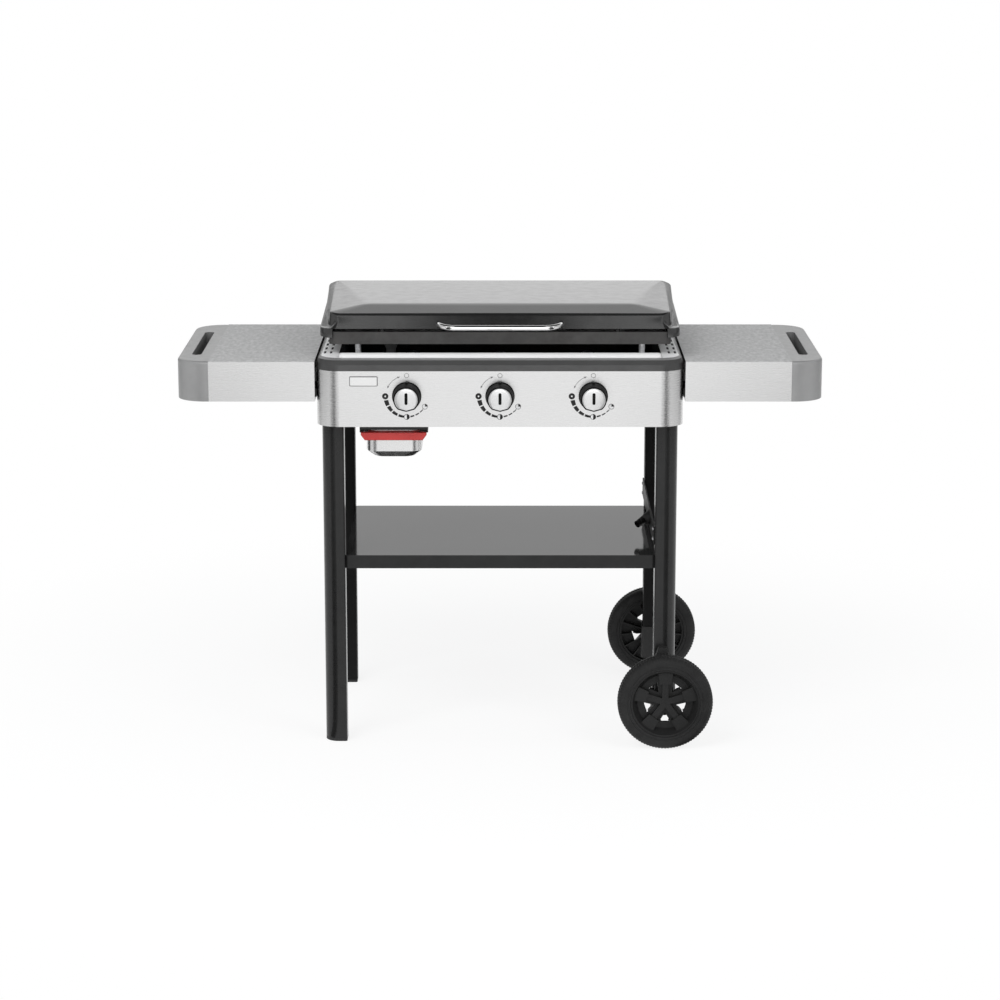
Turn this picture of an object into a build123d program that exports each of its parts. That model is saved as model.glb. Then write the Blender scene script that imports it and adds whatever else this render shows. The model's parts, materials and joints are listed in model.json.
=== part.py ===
from build123d import *
import math
import os

# Free-standing gas griddle on a cart with two wheels. Millimetres, X right, -Y front, Z up,
# origin on the floor under the middle of the whole object.

# Clearances
RUN_FIT = 0.05          # radial play of a turning pin, plug or wheel
SLIDE_GAP = 0.3         # play between a sliding piece and its guide
SEAT_GAP = 0.3          # play of a sheet edge dropped in beside another
BOLT_PLAY = 0.2         # radial play of a bolt or a tube in its hole
END_GAP = 0.4           # side play of a hinge arm or a wheel hub

# Sheet thicknesses
SHEET = 1.5             # folded panels
DECK_T = 2.0            # deck, vents and bezel

# Legs
LEG_SPAN_Y = 502.0      # front face of the front legs to back face of the rear legs
LEG_INSET_X = 9.5       # outer faces inside the sides of the console
LEG_W = 47.0
LEG_D = 45.0
LEG_WALL = 2.0
LEG_ROUND_R = 28.0      # the one large rounded corner, outside
LEG_EDGE_R = 4.0
LEG_REACH = 109.0       # how far the legs run up inside the console
LEG_END_DROP = 37.0     # lower end of the right legs below the axle
CAP_H = 6.0             # end cap below the tube
CAP_PLUG_H = 20.0       # end cap inside the tube

# Shelf and gas bottle hanger
SHELF_TOP_Z = 415.0
SHELF_H = 29.0
SHELF_SETBACK = 10.0    # behind the face of the legs
SHELF_EDGE_R = 5.0
HANGER_LIFT = 25.0      # above the shelf
HANGER_H = 40.0
HANGER_T = 3.0
HOOK_R = 8.0
HOOK_BORE_R = 6.2
HOOK_LENGTH = 40.0
HOOK_Y = -60.0
HOOK_REACH = (-0.74, -0.58, -0.34)   # direction the hook points to

# Wheels
WHEEL_R = 103.0
WHEEL_W = 44.0
TYRE_BORE_R = 75.0
TYRE_SHOULDER_R = 13.0
RIM_WALL = 4.0
RIM_W = 38.0
RIM_WEB_T = 4.0
RIB_H = 14.0
RIB_T = 3.0
RIB_COUNT = 15
SPOKE_COUNT = 5
SPOKE_PAD_OUT_W = 33.0
SPOKE_PAD_IN_W = 25.0
SPOKE_PAD_IN_R = 41.0
SPOKE_BAR_W = 13.6
SPOKE_H = 12.0
SPOKE_BAR_H = 9.0
RIM_BOWL_R = 60.0       # foot of the dished well
RIM_HOLE_IN_R = 25.0
RIM_HOLE_OUT_R = 46.0
RIM_HOLE_SPREAD = 15.0  # half angle of a rim hole, degrees
HUB_R = 20.0
AXLE_R = 6.0
AXLE_SNAP_R = 7.5       # snap head of the axle in the pocket of the hub
AXLE_POCKET_Z = -3.0    # start of that pocket, from the middle of the wheel
AXLE_POCKET_H = 8.0
AXLE_BRACKET_T = 19.0
AXLE_BRACKET_TOP_W = 17.0
AXLE_BRACKET_MID_W = 29.0
AXLE_BRACKET_LOW_W = 42.0
AXLE_BRACKET_LEAN = 5.5     # its top nearer to the middle of the object
AXLE_BRACKET_NOSE = 19.0    # height of the narrow top
AXLE_BRACKET_RISE = 113.0   # above the axle
AXLE_BRACKET_DROP = 26.0    # below the axle
HUB_TO_BRACKET = 2.0
SHOE_T = 2.0            # sleeve round the end of a right leg
SHOE_FLARE = 2.0
SHOE_H = 68.0

# Console
CONSOLE_Z = 706.0
CONSOLE_W = 779.0
CONSOLE_FRONT_RUN = 37.0    # fascia in front of the legs
CONSOLE_BACK_RUN = 11.0     # rear panel behind the legs
CONSOLE_CORNER_R = 49.0
FASCIA_H = 119.5
BEZEL_H = 25.5
BEZEL_RUN_FRONT = 17.0
BEZEL_RUN_SIDE = 7.5
BEZEL_STEPS = 4

# Firebox and vents
VENT_BAND_W = 44.5      # from the firebox out to the side of the console
FIREBOX_LIFT = 30.0     # its floor above the lower edge of the console
REAR_LEDGE = 36.0
VENT_SLOT_W = 5.0
VENT_SLOT_L = 28.0
VENT_ROWS = 9
VENT_COLUMN_STEP = 13.0
VENT_FRONT = 88.0       # from the console front to the first slot
VENT_OUT = 5.0          # slots set out from the middle of the strip

# Griddle plate
PLATE_OVERHANG_X = 18.0     # beyond the firebox at each side
PLATE_OVERHANG_FRONT = 25.0
PLATE_BACK_SETBACK = 19.0   # inside the back of the firebox
PLATE_GAP = 23.0        # free height between the deck and the plate
PLATE_H = 26.0
PLATE_T = 4.0
PLATE_CORNER_R = 10.0
TROUGH_W = 30.0
TROUGH_DROP = 6.0
DRAIN_R = 7.0
POST_R = 6.5
POST_SIDE_SETBACK = 61.0
POST_FRONT_SETBACK = 19.0
POST_REAR_SETBACK = 8.0

# Grease chute and tray
GREASE_EDGE = 163.5     # middle of the tray from the left side of the console
DRAIN_OFFSET_X = -6.0
CHUTE_R = 10.0
CHUTE_WALL = 1.4
CHUTE_FUNNEL_R = 16.0
CHUTE_FUNNEL_H = 12.0
CHUTE_COLLAR_R = 14.0
CHUTE_COLLAR_T = 2.0
CHUTE_DROP = 4.0        # how far the chute ends below the console
PAN_W = 118.0
PAN_D = 160.0
PAN_H = 60.0
PAN_T = 0.8
PAN_CORNER_R = 24.0
PAN_TAPER = 15.0
PAN_KNEE_H = 14.0       # height of the tapered foot
PAN_RIM = 3.0
PAN_SETBACK = 36.0      # behind the fascia
PAN_PLAY = 0.5
TRAY_WALL = 3.5
TRAY_RING_H = 12.0
TRAY_FLANGE_W = 7.5
TRAY_FLANGE_T = 2.0
TRAY_FRONT_T = 13.0
TRAY_FRONT_H = 17.0
TRAY_FRONT_EXTRA = 11.0     # wider than the pan at each side
TRAY_FRONT_TAPER = 8.5
TRAY_DROP = 14.0        # tray flange top below the console
RAIL_T = 2.0
RAIL_LIP_GAP = 1.5      # between the tray ring and the lip of the rail
RAIL_EXTRA_L = 16.0     # longer than the pan
RAIL_FOOT_W = 14.0
APRON_H = 21.0

# Gas train
KNOB_RISE = 66.0        # knob axis above the lower edge of the console
KNOB_EDGE = 192.5       # outer knob axis from the side of the console
MANIFOLD_R = 10.0
MANIFOLD_BORE_R = 7.5
MANIFOLD_DROP = 26.0    # below the knob axis
MANIFOLD_RUN = 44.0     # in front of the firebox
MANIFOLD_END_MARGIN = 16.0
INLET_EDGE = 89.5       # gas inlet from the right side of the console
MANIFOLD_TAB_W = 20.0
MANIFOLD_TAB_H = 10.0
INLET_R = 8.0
INLET_BORE_R = 4.0
INLET_L = 22.0
INLET_HEX_R = 13.0
INLET_HEX_H = 10.0
VALVE_R = 14.0
VALVE_SETBACK = 24.0    # behind the fascia
VALVE_L = 28.0
VALVE_STUB_R = 7.0
VALVE_END_T = 4.0
NOZZLE_R = 5.0
NOZZLE_L = 7.0
NOZZLE_BORE_R = 1.5
PLUG_R = 7.0
SOCKET_L = 10.0
STEM_R = 4.0
STEM_IN_PLUG = 5.0
STEM_IN_GRIP = 14.0
BURNER_R = 19.0
BURNER_T = 1.5
BURNER_SETBACK = 26.0   # behind the front of the firebox
BURNER_REAR_GAP = 26.0
BURNER_NECK_R = 12.0
BURNER_MOUTH_RUN = 22.0     # mouth in front of the firebox
BURNER_STUB_R = 6.0
PORT_R = 1.6
PORT_COUNT = 18
ELECTRODE_R = 3.5
ELECTRODE_L = 44.0
ELECTRODE_SIDE = 27.0
ELECTRODE_RISE = 12.0
SPARK_WIRE_R = 1.2
SPARK_WIRE_L = 12.0
MODULE_SIZE = (60.0, 26.0, 38.0)
MODULE_RISE = 90.0

# Knobs
KNOB_PUSH = 4.0
KNOB_BEZEL_R = 31.0
KNOB_BEZEL_BORE_R = 22.0
KNOB_BEZEL_T = 3.0
KNOB_BACK_GAP = 5.0     # grip to bezel, knob not pushed
GRIP_BACK_R = 29.5
GRIP_FRONT_R = 27.0
GRIP_L = 33.0
GRIP_HUB_R = 19.0
GRIP_HUB_L = 3.0
GRIP_TIP_R = 25.6       # the shallow V at the lower side of the grip
GRIP_TIP_SLOPE = 15.0
CAP_R = 24.3
CAP_T = 5.0
POINTER_W = 6.0
POINTER_L = 6.0
POINTER_H = 2.5
FASCIA_HOLE_R = 7.0

# Lid
LID_GAP = 8.0           # lid edge above the plate rim
LID_OVERHANG = 1.0      # wider than the plate at each side
LID_FRONT_SETBACK = 10.0    # top edge of the front wall behind the plate
LID_BACK_SETBACK = 9.0
LID_WALL_H = 29.0       # at the front
LID_FLARE = 17.0        # of the front and back walls, and of the side walls at the front
LID_FLARE_REAR = 9.0    # of the side walls at the back
LID_REAR_RISE = 10.0    # the shoulder climbs to the back
LID_REAR_SPREAD = 12.0  # and spreads, at each side
LID_CORNER_R = 18.0
LID_T = 1.6
LID_ROOF_H = 14.0       # above the front shoulder
ROOF_SIDE_RUN = 77.0    # at the front
ROOF_SIDE_RUN_REAR = 6.0
ROOF_FRONT_RUN = 53.0
ROOF_BACK_RUN = 8.0
ROOF_CORNER_R = 8.0
LID_EDGE_R = 7.0
RIM_DROP = 20.0         # side rims below the front edge of the lid
RIM_OUT = 2.5
RIM_WRAP = 24.0         # how far the rims come round the front corners
RIM_BACK_STOP = 20.0    # they end in front of the back wall, to clear the plate when the lid opens
LIP_W = 12.0
BUMPER_R = 4.0
BUMPER_EDGE = 114.0     # from the side of the lid
HANDLE_R = 5.0
HANDLE_W = 258.0
HANDLE_REACH = 34.0
HANDLE_DROP = 2.5
HANDLE_SPLAY = 18.0
HANDLE_BEND_R = 14.0
HANDLE_RISE = 10.0      # its ends above the lid edge
HINGE_BACK = 34.0       # hinge axis behind the top edge of the lid
HINGE_RISE = 5.0        # hinge axis above the plate rim
HINGE_EDGE = 64.0       # from the side of the lid
HINGE_EYE_R = 9.0
HINGE_ARM_T = 12.0
HINGE_ARM_LOW = 4.0
HINGE_ARM_HIGH = 26.0
HINGE_PIN_R = 4.0
HINGE_PIN_HEAD_R = 6.0
HINGE_PIN_HEAD_T = 2.0
HINGE_EAR_T = 3.0
HINGE_FOOT_T = 3.0
HINGE_FOOT_D = 30.0

# Side tables
TABLE_GAP = 3.5
TABLE_W = 225.0         # top and skirt, without the end cap
TABLE_FRONT_SETBACK = 27.0  # behind the fascia
TABLE_BACK_SETBACK = 35.0   # in front of the rear panel
TABLE_H = 86.5
TABLE_DROP = 9.0        # table top below the deck
TABLE_HEM = 10.0
END_CAP_W = 70.0
END_CAP_R = 62.0
END_CAP_T = 3.0
END_CAP_EDGE_R = 6.0
SLOT_W = 21.0
SLOT_END = 94.0         # from the slot to the front and back of the table, on average
SLOT_INSET = 22.0
SLOT_SHIFT_Y = -12.0
SLEEVE_H = 60.0
RAIL_UP_INSET = 34.0    # centre of the upper mounting rail below the table top
RAIL_LOW_INSET = 18.0   # centre of the lower one above the table's lower edge
TABLE_RAIL_H = 18.0
TABLE_RAIL_INSET = 6.0
TABLE_BOLT_END = 99.0   # bolts from the front and back of the table

# Bolts
BOLT_R = 4.0
BOLT_HEAD_R = 6.5
BOLT_HEAD_T = 4.0
BOLT_NUT_T = 6.0

# Heights and planes that follow from the sizes above
FASCIA_TOP_Z = CONSOLE_Z + FASCIA_H
DECK_Z = FASCIA_TOP_Z + BEZEL_H
DECK_UNDER_Z = DECK_Z - DECK_T
LEG_TOP_Z = CONSOLE_Z + LEG_REACH
LEG_SPAN_X = CONSOLE_W - 2 * LEG_INSET_X
RIGHT_LEG_Z = WHEEL_R - LEG_END_DROP
SHELF_D = LEG_SPAN_Y - 2 * SHELF_SETBACK
HANGER_Z = SHELF_TOP_Z + HANGER_LIFT
CONSOLE_FRONT_Y = -LEG_SPAN_Y / 2 - CONSOLE_FRONT_RUN
CONSOLE_BACK_Y = LEG_SPAN_Y / 2 + CONSOLE_BACK_RUN
FIREBOX_W = CONSOLE_W - 2 * VENT_BAND_W
FIREBOX_Y = LEG_SPAN_Y / 2 - LEG_D
VENT_PITCH = (CONSOLE_BACK_Y - CONSOLE_FRONT_Y) / (VENT_ROWS + 2)
FIREBOX_Z = CONSOLE_Z + FIREBOX_LIFT
DECK_HALF_W = FIREBOX_W / 2 - SHEET
PLATE_Z = DECK_Z + PLATE_GAP
PLATE_TOP_Z = PLATE_Z + PLATE_H
PLATE_W = FIREBOX_W + 2 * PLATE_OVERHANG_X
PLATE_FRONT_Y = -FIREBOX_Y - PLATE_OVERHANG_FRONT
PLATE_BACK_Y = FIREBOX_Y - PLATE_BACK_SETBACK
POST_X = PLATE_W / 2 - POST_SIDE_SETBACK
GREASE_X = GREASE_EDGE - CONSOLE_W / 2
PAN_FRONT_Y = CONSOLE_FRONT_Y + PAN_SETBACK
TRAY_FRONT_W = PAN_W + 2 * TRAY_FRONT_EXTRA
RAIL_L = PAN_D + RAIL_EXTRA_L
KNOB_STEP = CONSOLE_W / 2 - KNOB_EDGE
KNOB_Z = CONSOLE_Z + KNOB_RISE
KNOB_XS = {"left": -KNOB_STEP, "centre": 0.0, "right": KNOB_STEP}
MANIFOLD_Z = KNOB_Z - MANIFOLD_DROP
MANIFOLD_Y = -FIREBOX_Y - MANIFOLD_RUN
MANIFOLD_INLET_X = CONSOLE_W / 2 - INLET_EDGE
MODULE_X = KNOB_STEP / 2
VALVE_FRONT_Y = CONSOLE_FRONT_Y + VALVE_SETBACK
BURNER_FRONT_Y = -FIREBOX_Y + BURNER_SETBACK
BURNER_MOUTH_Y = -FIREBOX_Y - BURNER_MOUTH_RUN
VALVE_BACK_Y = VALVE_FRONT_Y + VALVE_L
PLUG_FRONT_Y = VALVE_FRONT_Y + VALVE_END_T
PLUG_BACK_Y = VALVE_BACK_Y - VALVE_END_T - SLIDE_GAP
GRIP_BACK_Y = CONSOLE_FRONT_Y - KNOB_BEZEL_T - KNOB_BACK_GAP
GRIP_FRONT_Y = GRIP_BACK_Y - GRIP_L
LID_EDGE_Z = PLATE_TOP_Z + LID_GAP
LID_SHOULDER_Z = LID_EDGE_Z + LID_WALL_H
LID_TOP_Z = LID_SHOULDER_Z + LID_ROOF_H
LID_REAR_Z = LID_SHOULDER_Z + LID_REAR_RISE
LID_W = PLATE_W + 2 * LID_OVERHANG
LID_FRONT_Y = PLATE_FRONT_Y + LID_FRONT_SETBACK
LID_BACK_Y = PLATE_BACK_Y - LID_BACK_SETBACK
LID_D = LID_BACK_Y - LID_FRONT_Y
BUMPER_X = LID_W / 2 - BUMPER_EDGE
HINGE_X = LID_W / 2 - HINGE_EDGE
HINGE_Y = LID_BACK_Y + HINGE_BACK
HINGE_Z = PLATE_TOP_Z + HINGE_RISE
TABLE_X0 = CONSOLE_W / 2 + TABLE_GAP
TABLE_X1 = TABLE_X0 + TABLE_W
TABLE_X2 = TABLE_X1 + END_CAP_W
TABLE_TOP_Z = DECK_Z - TABLE_DROP
TABLE_Z = TABLE_TOP_Z - TABLE_H
TABLE_FRONT_Y = CONSOLE_FRONT_Y + TABLE_FRONT_SETBACK
TABLE_BACK_Y = CONSOLE_BACK_Y - TABLE_BACK_SETBACK
TABLE_D = TABLE_BACK_Y - TABLE_FRONT_Y
SLOT_L = TABLE_D - 2 * SLOT_END
TABLE_BOLT_SPAN = TABLE_D - 2 * TABLE_BOLT_END
TABLE_MID_Y = (TABLE_FRONT_Y + TABLE_BACK_Y) / 2
DRAIN_X = GREASE_X + DRAIN_OFFSET_X
DRAIN_Y = -FIREBOX_Y - CHUTE_R - 2 * SLIDE_GAP - 1.0
LEG_X = LEG_SPAN_X / 2 - LEG_W / 2
LEG_Y = LEG_SPAN_Y / 2 - LEG_D / 2
LEG_IN_X = LEG_SPAN_X / 2 - LEG_W
WHEEL_Y = -(LEG_SPAN_Y / 2 + AXLE_BRACKET_T + HUB_TO_BRACKET + WHEEL_W / 2)
FRONT_Y = GRIP_FRONT_Y - CAP_T      # foremost: the knob caps
BACK_Y = WHEEL_W / 2 - WHEEL_Y      # rearmost: the rear wheel


# Helpers
def block(x0, x1, y0, y1, z0, z1):
    """Box between limits."""
    size = Box(x1 - x0, y1 - y0, z1 - z0)
    return Pos((x0 + x1) / 2, (y0 + y1) / 2, (z0 + z1) / 2) * size


def slab(x0, x1, y0, y1, z0, z1, radius):
    """Upright prism between limits with rounded corners in plan."""
    face = RectangleRounded(x1 - x0, y1 - y0, radius)
    return extrude(Pos((x0 + x1) / 2, (y0 + y1) / 2, z0) * face, z1 - z0)


def rod_x(x0, x1, y, z, radius):
    """Round bar along X."""
    return Pos((x0 + x1) / 2, y, z) * Rot(0, 90, 0) * Cylinder(radius, x1 - x0)


def rod_y(x, y0, y1, z, radius):
    """Round bar along Y."""
    return Pos(x, (y0 + y1) / 2, z) * Rot(90, 0, 0) * Cylinder(radius, y1 - y0)


def rod_z(x, y, z0, z1, radius):
    """Round bar along Z."""
    return Pos(x, y, (z0 + z1) / 2) * Cylinder(radius, z1 - z0)


def outline(points, radii):
    """Closed outline in plan with its own radius at each corner."""
    return make_face(FilletPolyline(*points, radius=radii, close=True))


def side_profile(points, x0, x1):
    """Outline given as (y, z) pairs, drawn out along X."""
    face = make_face(Polyline(*[(x0, y, z) for y, z in points], close=True))
    return extrude(face, x1 - x0, dir=(1, 0, 0))


def left_of(shape):
    """Mirror image on the other side of the object."""
    return mirror(shape, about=Plane.YZ)


def behind(shape):
    """Mirror image at the back of the object."""
    return mirror(shape, about=Plane.XZ)


def group(shapes):
    """Separate pieces kept together as one node."""
    return Compound([solid for shape in shapes for solid in shape.solids()])


def bolt_x(x0, x1, y, z):
    """Bolt with its nut, clamping what lies between two faces, head at the lower X."""
    shank = rod_x(x0 - BOLT_HEAD_T, x1 + BOLT_NUT_T, y, z, BOLT_R)
    head = rod_x(x0 - BOLT_HEAD_T, x0, y, z, BOLT_HEAD_R)
    hexagon = extrude(RegularPolygon(BOLT_HEAD_R, 6), BOLT_NUT_T)
    nut = Pos(x1, y, z) * Rot(0, 90, 0) * hexagon
    return shank + head + nut


def bolt_hole_x(x0, x1, y, z):
    """Hole for such a bolt."""
    return rod_x(x0, x1, y, z, BOLT_R + BOLT_PLAY)


# Fastening points shared by the pieces they join
SHELF_BOLT_Z = SHELF_TOP_Z - SHELF_H / 2
TABLE_RAIL_ZS = [TABLE_TOP_Z - RAIL_UP_INSET, TABLE_Z + RAIL_LOW_INSET]
TABLE_BOLT_YS = [TABLE_MID_Y - TABLE_BOLT_SPAN / 2, TABLE_MID_Y + TABLE_BOLT_SPAN / 2]
TABLE_BOLTS = [(y, z) for y in TABLE_BOLT_YS for z in TABLE_RAIL_ZS]


# Cart
def leg_face(inset):
    """Section of the right rear leg; the large corner points out and back."""
    x = LEG_W / 2 - inset
    y = LEG_D / 2 - inset
    small = LEG_EDGE_R - inset
    corners = [(-x, -y), (x, -y), (x, y), (-x, y)]
    return outline(corners, [small, small, LEG_ROUND_R - inset, small])


def leg(z0):
    """Right rear leg from z0 up into the console, a hollow tube."""
    tube = extrude(leg_face(0), LEG_TOP_Z - z0) - extrude(leg_face(LEG_WALL), LEG_TOP_Z - z0)
    placed = Pos(LEG_X, LEG_Y, z0) * tube
    return placed - bolt_hole_x(LEG_IN_X - 1, LEG_IN_X + LEG_WALL + 1, LEG_Y, SHELF_BOLT_Z)


def end_cap(z0):
    """Cap below a leg that ends at z0, with a plug up the tube."""
    cap = extrude(leg_face(0), -CAP_H)
    plug = extrude(leg_face(LEG_WALL + BOLT_PLAY), CAP_PLUG_H)
    return Pos(LEG_X, LEG_Y, z0) * (cap + plug)


def shelf():
    """Folded shelf between the legs, open underneath."""
    half_d = SHELF_D / 2
    bottom = SHELF_TOP_Z - SHELF_H
    outer = slab(-LEG_IN_X, LEG_IN_X, -half_d, half_d, bottom, SHELF_TOP_Z, SHELF_EDGE_R)
    x = LEG_IN_X - SHEET
    y = half_d - SHEET
    inner = slab(-x, x, -y, y, bottom, SHELF_TOP_Z - SHEET, SHELF_EDGE_R - SHEET)
    tray = outer - inner
    for side in (-1, 1):
        for end in (-1, 1):
            centre = side * LEG_IN_X
            tray -= bolt_hole_x(centre - 2 * SHEET, centre + 2 * SHEET, end * LEG_Y, SHELF_BOLT_Z)
    return tray


def tank_hanger():
    """Rail between the right legs with a short open tube as the hook for a gas bottle."""
    half = LEG_SPAN_Y / 2 - LEG_EDGE_R
    rail = block(LEG_IN_X - HANGER_T, LEG_IN_X, -half, half, HANGER_Z, HANGER_Z + HANGER_H)
    start = Vector(LEG_IN_X - HANGER_T / 2, HOOK_Y, HANGER_Z + HANGER_H / 2)
    aim = Plane(start, z_dir=HOOK_REACH)
    hook = aim * Pos(0, 0, HOOK_LENGTH / 2) * Cylinder(HOOK_R, HOOK_LENGTH)
    bore = aim * Pos(0, 0, HOOK_LENGTH) * Cylinder(HOOK_BORE_R, HOOK_LENGTH)
    beyond = block(LEG_IN_X, LEG_IN_X + HOOK_LENGTH, -half, half, HANGER_Z, HANGER_Z + HANGER_H)
    return rail + (hook - bore - beyond)


# Wheels, drawn about Z with the outer side up, then turned to the front
def turned(shape):
    """Puts a wheel piece on the front axle."""
    return Pos(LEG_X, WHEEL_Y, WHEEL_R) * Rot(90, 0, 0) * shape


def tyre():
    """Tyre with rounded shoulders."""
    disc = Cylinder(WHEEL_R, WHEEL_W)
    disc = fillet(disc.edges().filter_by(GeomType.CIRCLE), TYRE_SHOULDER_R)
    return turned(disc - Cylinder(TYRE_BORE_R, WHEEL_W))


def rim():
    """Moulded rim: dished well with spokes outside, web with holes, ribs inside, blind hub."""
    mouth_r = TYRE_BORE_R - RIM_WALL
    half = RIM_W / 2
    back_h = half - RIM_WEB_T
    body = Cylinder(TYRE_BORE_R, RIM_W)
    body -= Pos(0, 0, half / 2) * Cone(RIM_BOWL_R, mouth_r, half)
    body -= Pos(0, 0, -RIM_WEB_T - back_h / 2) * Cylinder(mouth_r, back_h)
    in_x = SPOKE_PAD_IN_W / 2
    out_x = SPOKE_PAD_OUT_W / 2
    out_r = mouth_r - RIM_WALL / 4
    pad_points = [(-in_x, SPOKE_PAD_IN_R), (in_x, SPOKE_PAD_IN_R), (out_x, out_r), (-out_x, out_r)]
    pad = extrude(make_face(Polyline(*pad_points, close=True)), SPOKE_H)
    bar_l = SPOKE_PAD_IN_R + RIM_WALL / 2
    bar = Pos(0, bar_l / 2, SPOKE_BAR_H / 2) * Box(SPOKE_BAR_W, bar_l, SPOKE_BAR_H)
    for i in range(SPOKE_COUNT):
        body += Rot(0, 0, i * 360 / SPOKE_COUNT) * (pad + bar)
    rib_l = mouth_r + RIM_WALL / 2
    rib = Pos(0, rib_l / 2, -RIM_WEB_T - RIB_H / 2) * Box(RIB_T, rib_l, RIB_H)
    for i in range(RIB_COUNT):
        body += Rot(0, 0, i * 360 / RIB_COUNT) * rib
    spread = math.radians(RIM_HOLE_SPREAD)
    tip = (0, RIM_HOLE_IN_R)
    wide_x = RIM_HOLE_OUT_R * math.sin(spread)
    wide_y = RIM_HOLE_OUT_R * math.cos(spread)
    hole = make_face(Polyline(tip, (wide_x, wide_y), (-wide_x, wide_y), close=True))
    cutter = Pos(0, 0, -RIM_W) * extrude(hole, 2 * RIM_W)
    for i in range(SPOKE_COUNT):
        body -= Rot(0, 0, (i + 0.5) * 360 / SPOKE_COUNT) * cutter
    back_z = -WHEEL_W / 2
    body += rod_z(0, 0, back_z, 0, HUB_R)
    body -= rod_z(0, 0, back_z, AXLE_POCKET_Z, AXLE_R + RUN_FIT)
    body -= rod_z(0, 0, AXLE_POCKET_Z, AXLE_POCKET_Z + AXLE_POCKET_H, AXLE_SNAP_R + SLIDE_GAP)
    return turned(body)


def axle():
    """Axle from the leg face into the hub, with a snap head in the pocket of the hub."""
    neck = WHEEL_Y - AXLE_POCKET_Z - END_GAP
    tip = WHEEL_Y - AXLE_POCKET_Z - AXLE_POCKET_H + END_GAP
    shaft = rod_y(LEG_X, neck, -LEG_SPAN_Y / 2, WHEEL_R, AXLE_R)
    return shaft + rod_y(LEG_X, tip, neck, WHEEL_R, AXLE_SNAP_R)


def leg_shoe():
    """Sleeve round the lower end of the right rear leg, wider at its foot."""
    low_z = RIGHT_LEG_Z - CAP_H
    low = Pos(LEG_X, LEG_Y, low_z) * leg_face(-SHOE_T - SHOE_FLARE)
    high = Pos(LEG_X, LEG_Y, RIGHT_LEG_Z + SHOE_H) * leg_face(-SHOE_T)
    room = Pos(LEG_X, LEG_Y, low_z) * extrude(leg_face(-BOLT_PLAY), SHOE_H + CAP_H)
    return loft([low, high], ruled=True) - room


def axle_bracket():
    """Shoe on the right front leg with a tapered block that holds the axle."""
    face_y = -LEG_SPAN_Y / 2
    top_z = WHEEL_R + AXLE_BRACKET_RISE
    mid_z = top_z - AXLE_BRACKET_NOSE
    low_z = WHEEL_R - AXLE_BRACKET_DROP
    top_x = LEG_X - AXLE_BRACKET_LEAN
    half_top = AXLE_BRACKET_TOP_W / 2
    half_mid = AXLE_BRACKET_MID_W / 2
    half_low = AXLE_BRACKET_LOW_W / 2
    points = [(top_x - half_top, top_z), (top_x + half_top, top_z), (top_x + half_mid, mid_z),
              (LEG_X + half_low, WHEEL_R), (LEG_X + half_low, low_z), (LEG_X - half_low, low_z),
              (LEG_X - half_low, WHEEL_R), (top_x - half_mid, mid_z)]
    face = make_face(Polyline(*[(x, face_y, z) for x, z in points], close=True))
    solid = extrude(face, AXLE_BRACKET_T, dir=(0, -1, 0)) + behind(leg_shoe())
    return solid - rod_y(LEG_X, face_y - 2 * AXLE_BRACKET_T, face_y, WHEEL_R, AXLE_R + RUN_FIT)


# Console
def console_face(z, side, front):
    """Plan of the console at height z, set in by side and front; it runs on past the back."""
    half = CONSOLE_W / 2 - side
    y0 = CONSOLE_FRONT_Y + front
    y1 = CONSOLE_BACK_Y + 2 * CONSOLE_CORNER_R
    face = RectangleRounded(2 * half, y1 - y0, CONSOLE_CORNER_R - side)
    return Pos(0, (y0 + y1) / 2, z) * face


def console_prism(z0, z1, inset):
    """Upright prism of that plan."""
    return extrude(console_face(z0, inset, inset), z1 - z0)


def to_back(shape):
    """Cuts a piece off at the inner face of the rear panel."""
    far = 2 * CONSOLE_W
    return shape - block(-far, far, CONSOLE_BACK_Y - SHEET, far, 0, far)


def front_fascia():
    """Front and side panel in one bent sheet, with a hem at the lower edge."""
    skin = console_prism(CONSOLE_Z, FASCIA_TOP_Z, 0) - console_prism(CONSOLE_Z, FASCIA_TOP_Z, SHEET)
    hem_in = CONSOLE_W / 2 - LEG_SPAN_X / 2
    hem_z = CONSOLE_Z + SHEET
    hem = console_prism(CONSOLE_Z, hem_z, 0) - console_prism(CONSOLE_Z, hem_z, hem_in)
    panel = to_back(skin + hem)
    for x in KNOB_XS.values():
        panel -= rod_y(x, CONSOLE_FRONT_Y - 1, CONSOLE_FRONT_Y + 2 * SHEET, KNOB_Z, FASCIA_HOLE_R)
    edge = CONSOLE_W / 2
    for y, z in TABLE_BOLTS:
        panel -= bolt_hole_x(edge - 2 * SHEET, edge + 1, y, z)
        panel -= bolt_hole_x(-edge - 1, -edge + 2 * SHEET, y, z)
    return panel


def bezel_loft(inset):
    """Rolled shoulder from the fascia up to the deck."""
    faces = []
    for i in range(BEZEL_STEPS):
        angle = math.radians(90 * i / (BEZEL_STEPS - 1))
        side = BEZEL_RUN_SIDE * (1 - math.cos(angle)) + inset
        front = BEZEL_RUN_FRONT * (1 - math.cos(angle)) + inset
        faces.append(console_face(FASCIA_TOP_Z + BEZEL_H * math.sin(angle), side, front))
    return loft(faces, ruled=True)


def deck_sheet():
    """The whole deck inside the bezel, before it is split into strips."""
    side = BEZEL_RUN_SIDE + DECK_T + SEAT_GAP
    front = BEZEL_RUN_FRONT + DECK_T + SEAT_GAP
    return to_back(extrude(console_face(DECK_UNDER_Z, side, front), DECK_T))


def front_rim():
    """Bright deck strip in front of the firebox, with a hole for the grease chute."""
    half = DECK_HALF_W - SEAT_GAP
    strip = block(-half, half, CONSOLE_FRONT_Y, -FIREBOX_Y + SHEET, DECK_UNDER_Z, DECK_Z)
    hole = rod_z(DRAIN_X, DRAIN_Y, DECK_UNDER_Z - 1, DECK_Z + 1, CHUTE_R + BOLT_PLAY)
    return deck_sheet() & strip - hole


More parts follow.
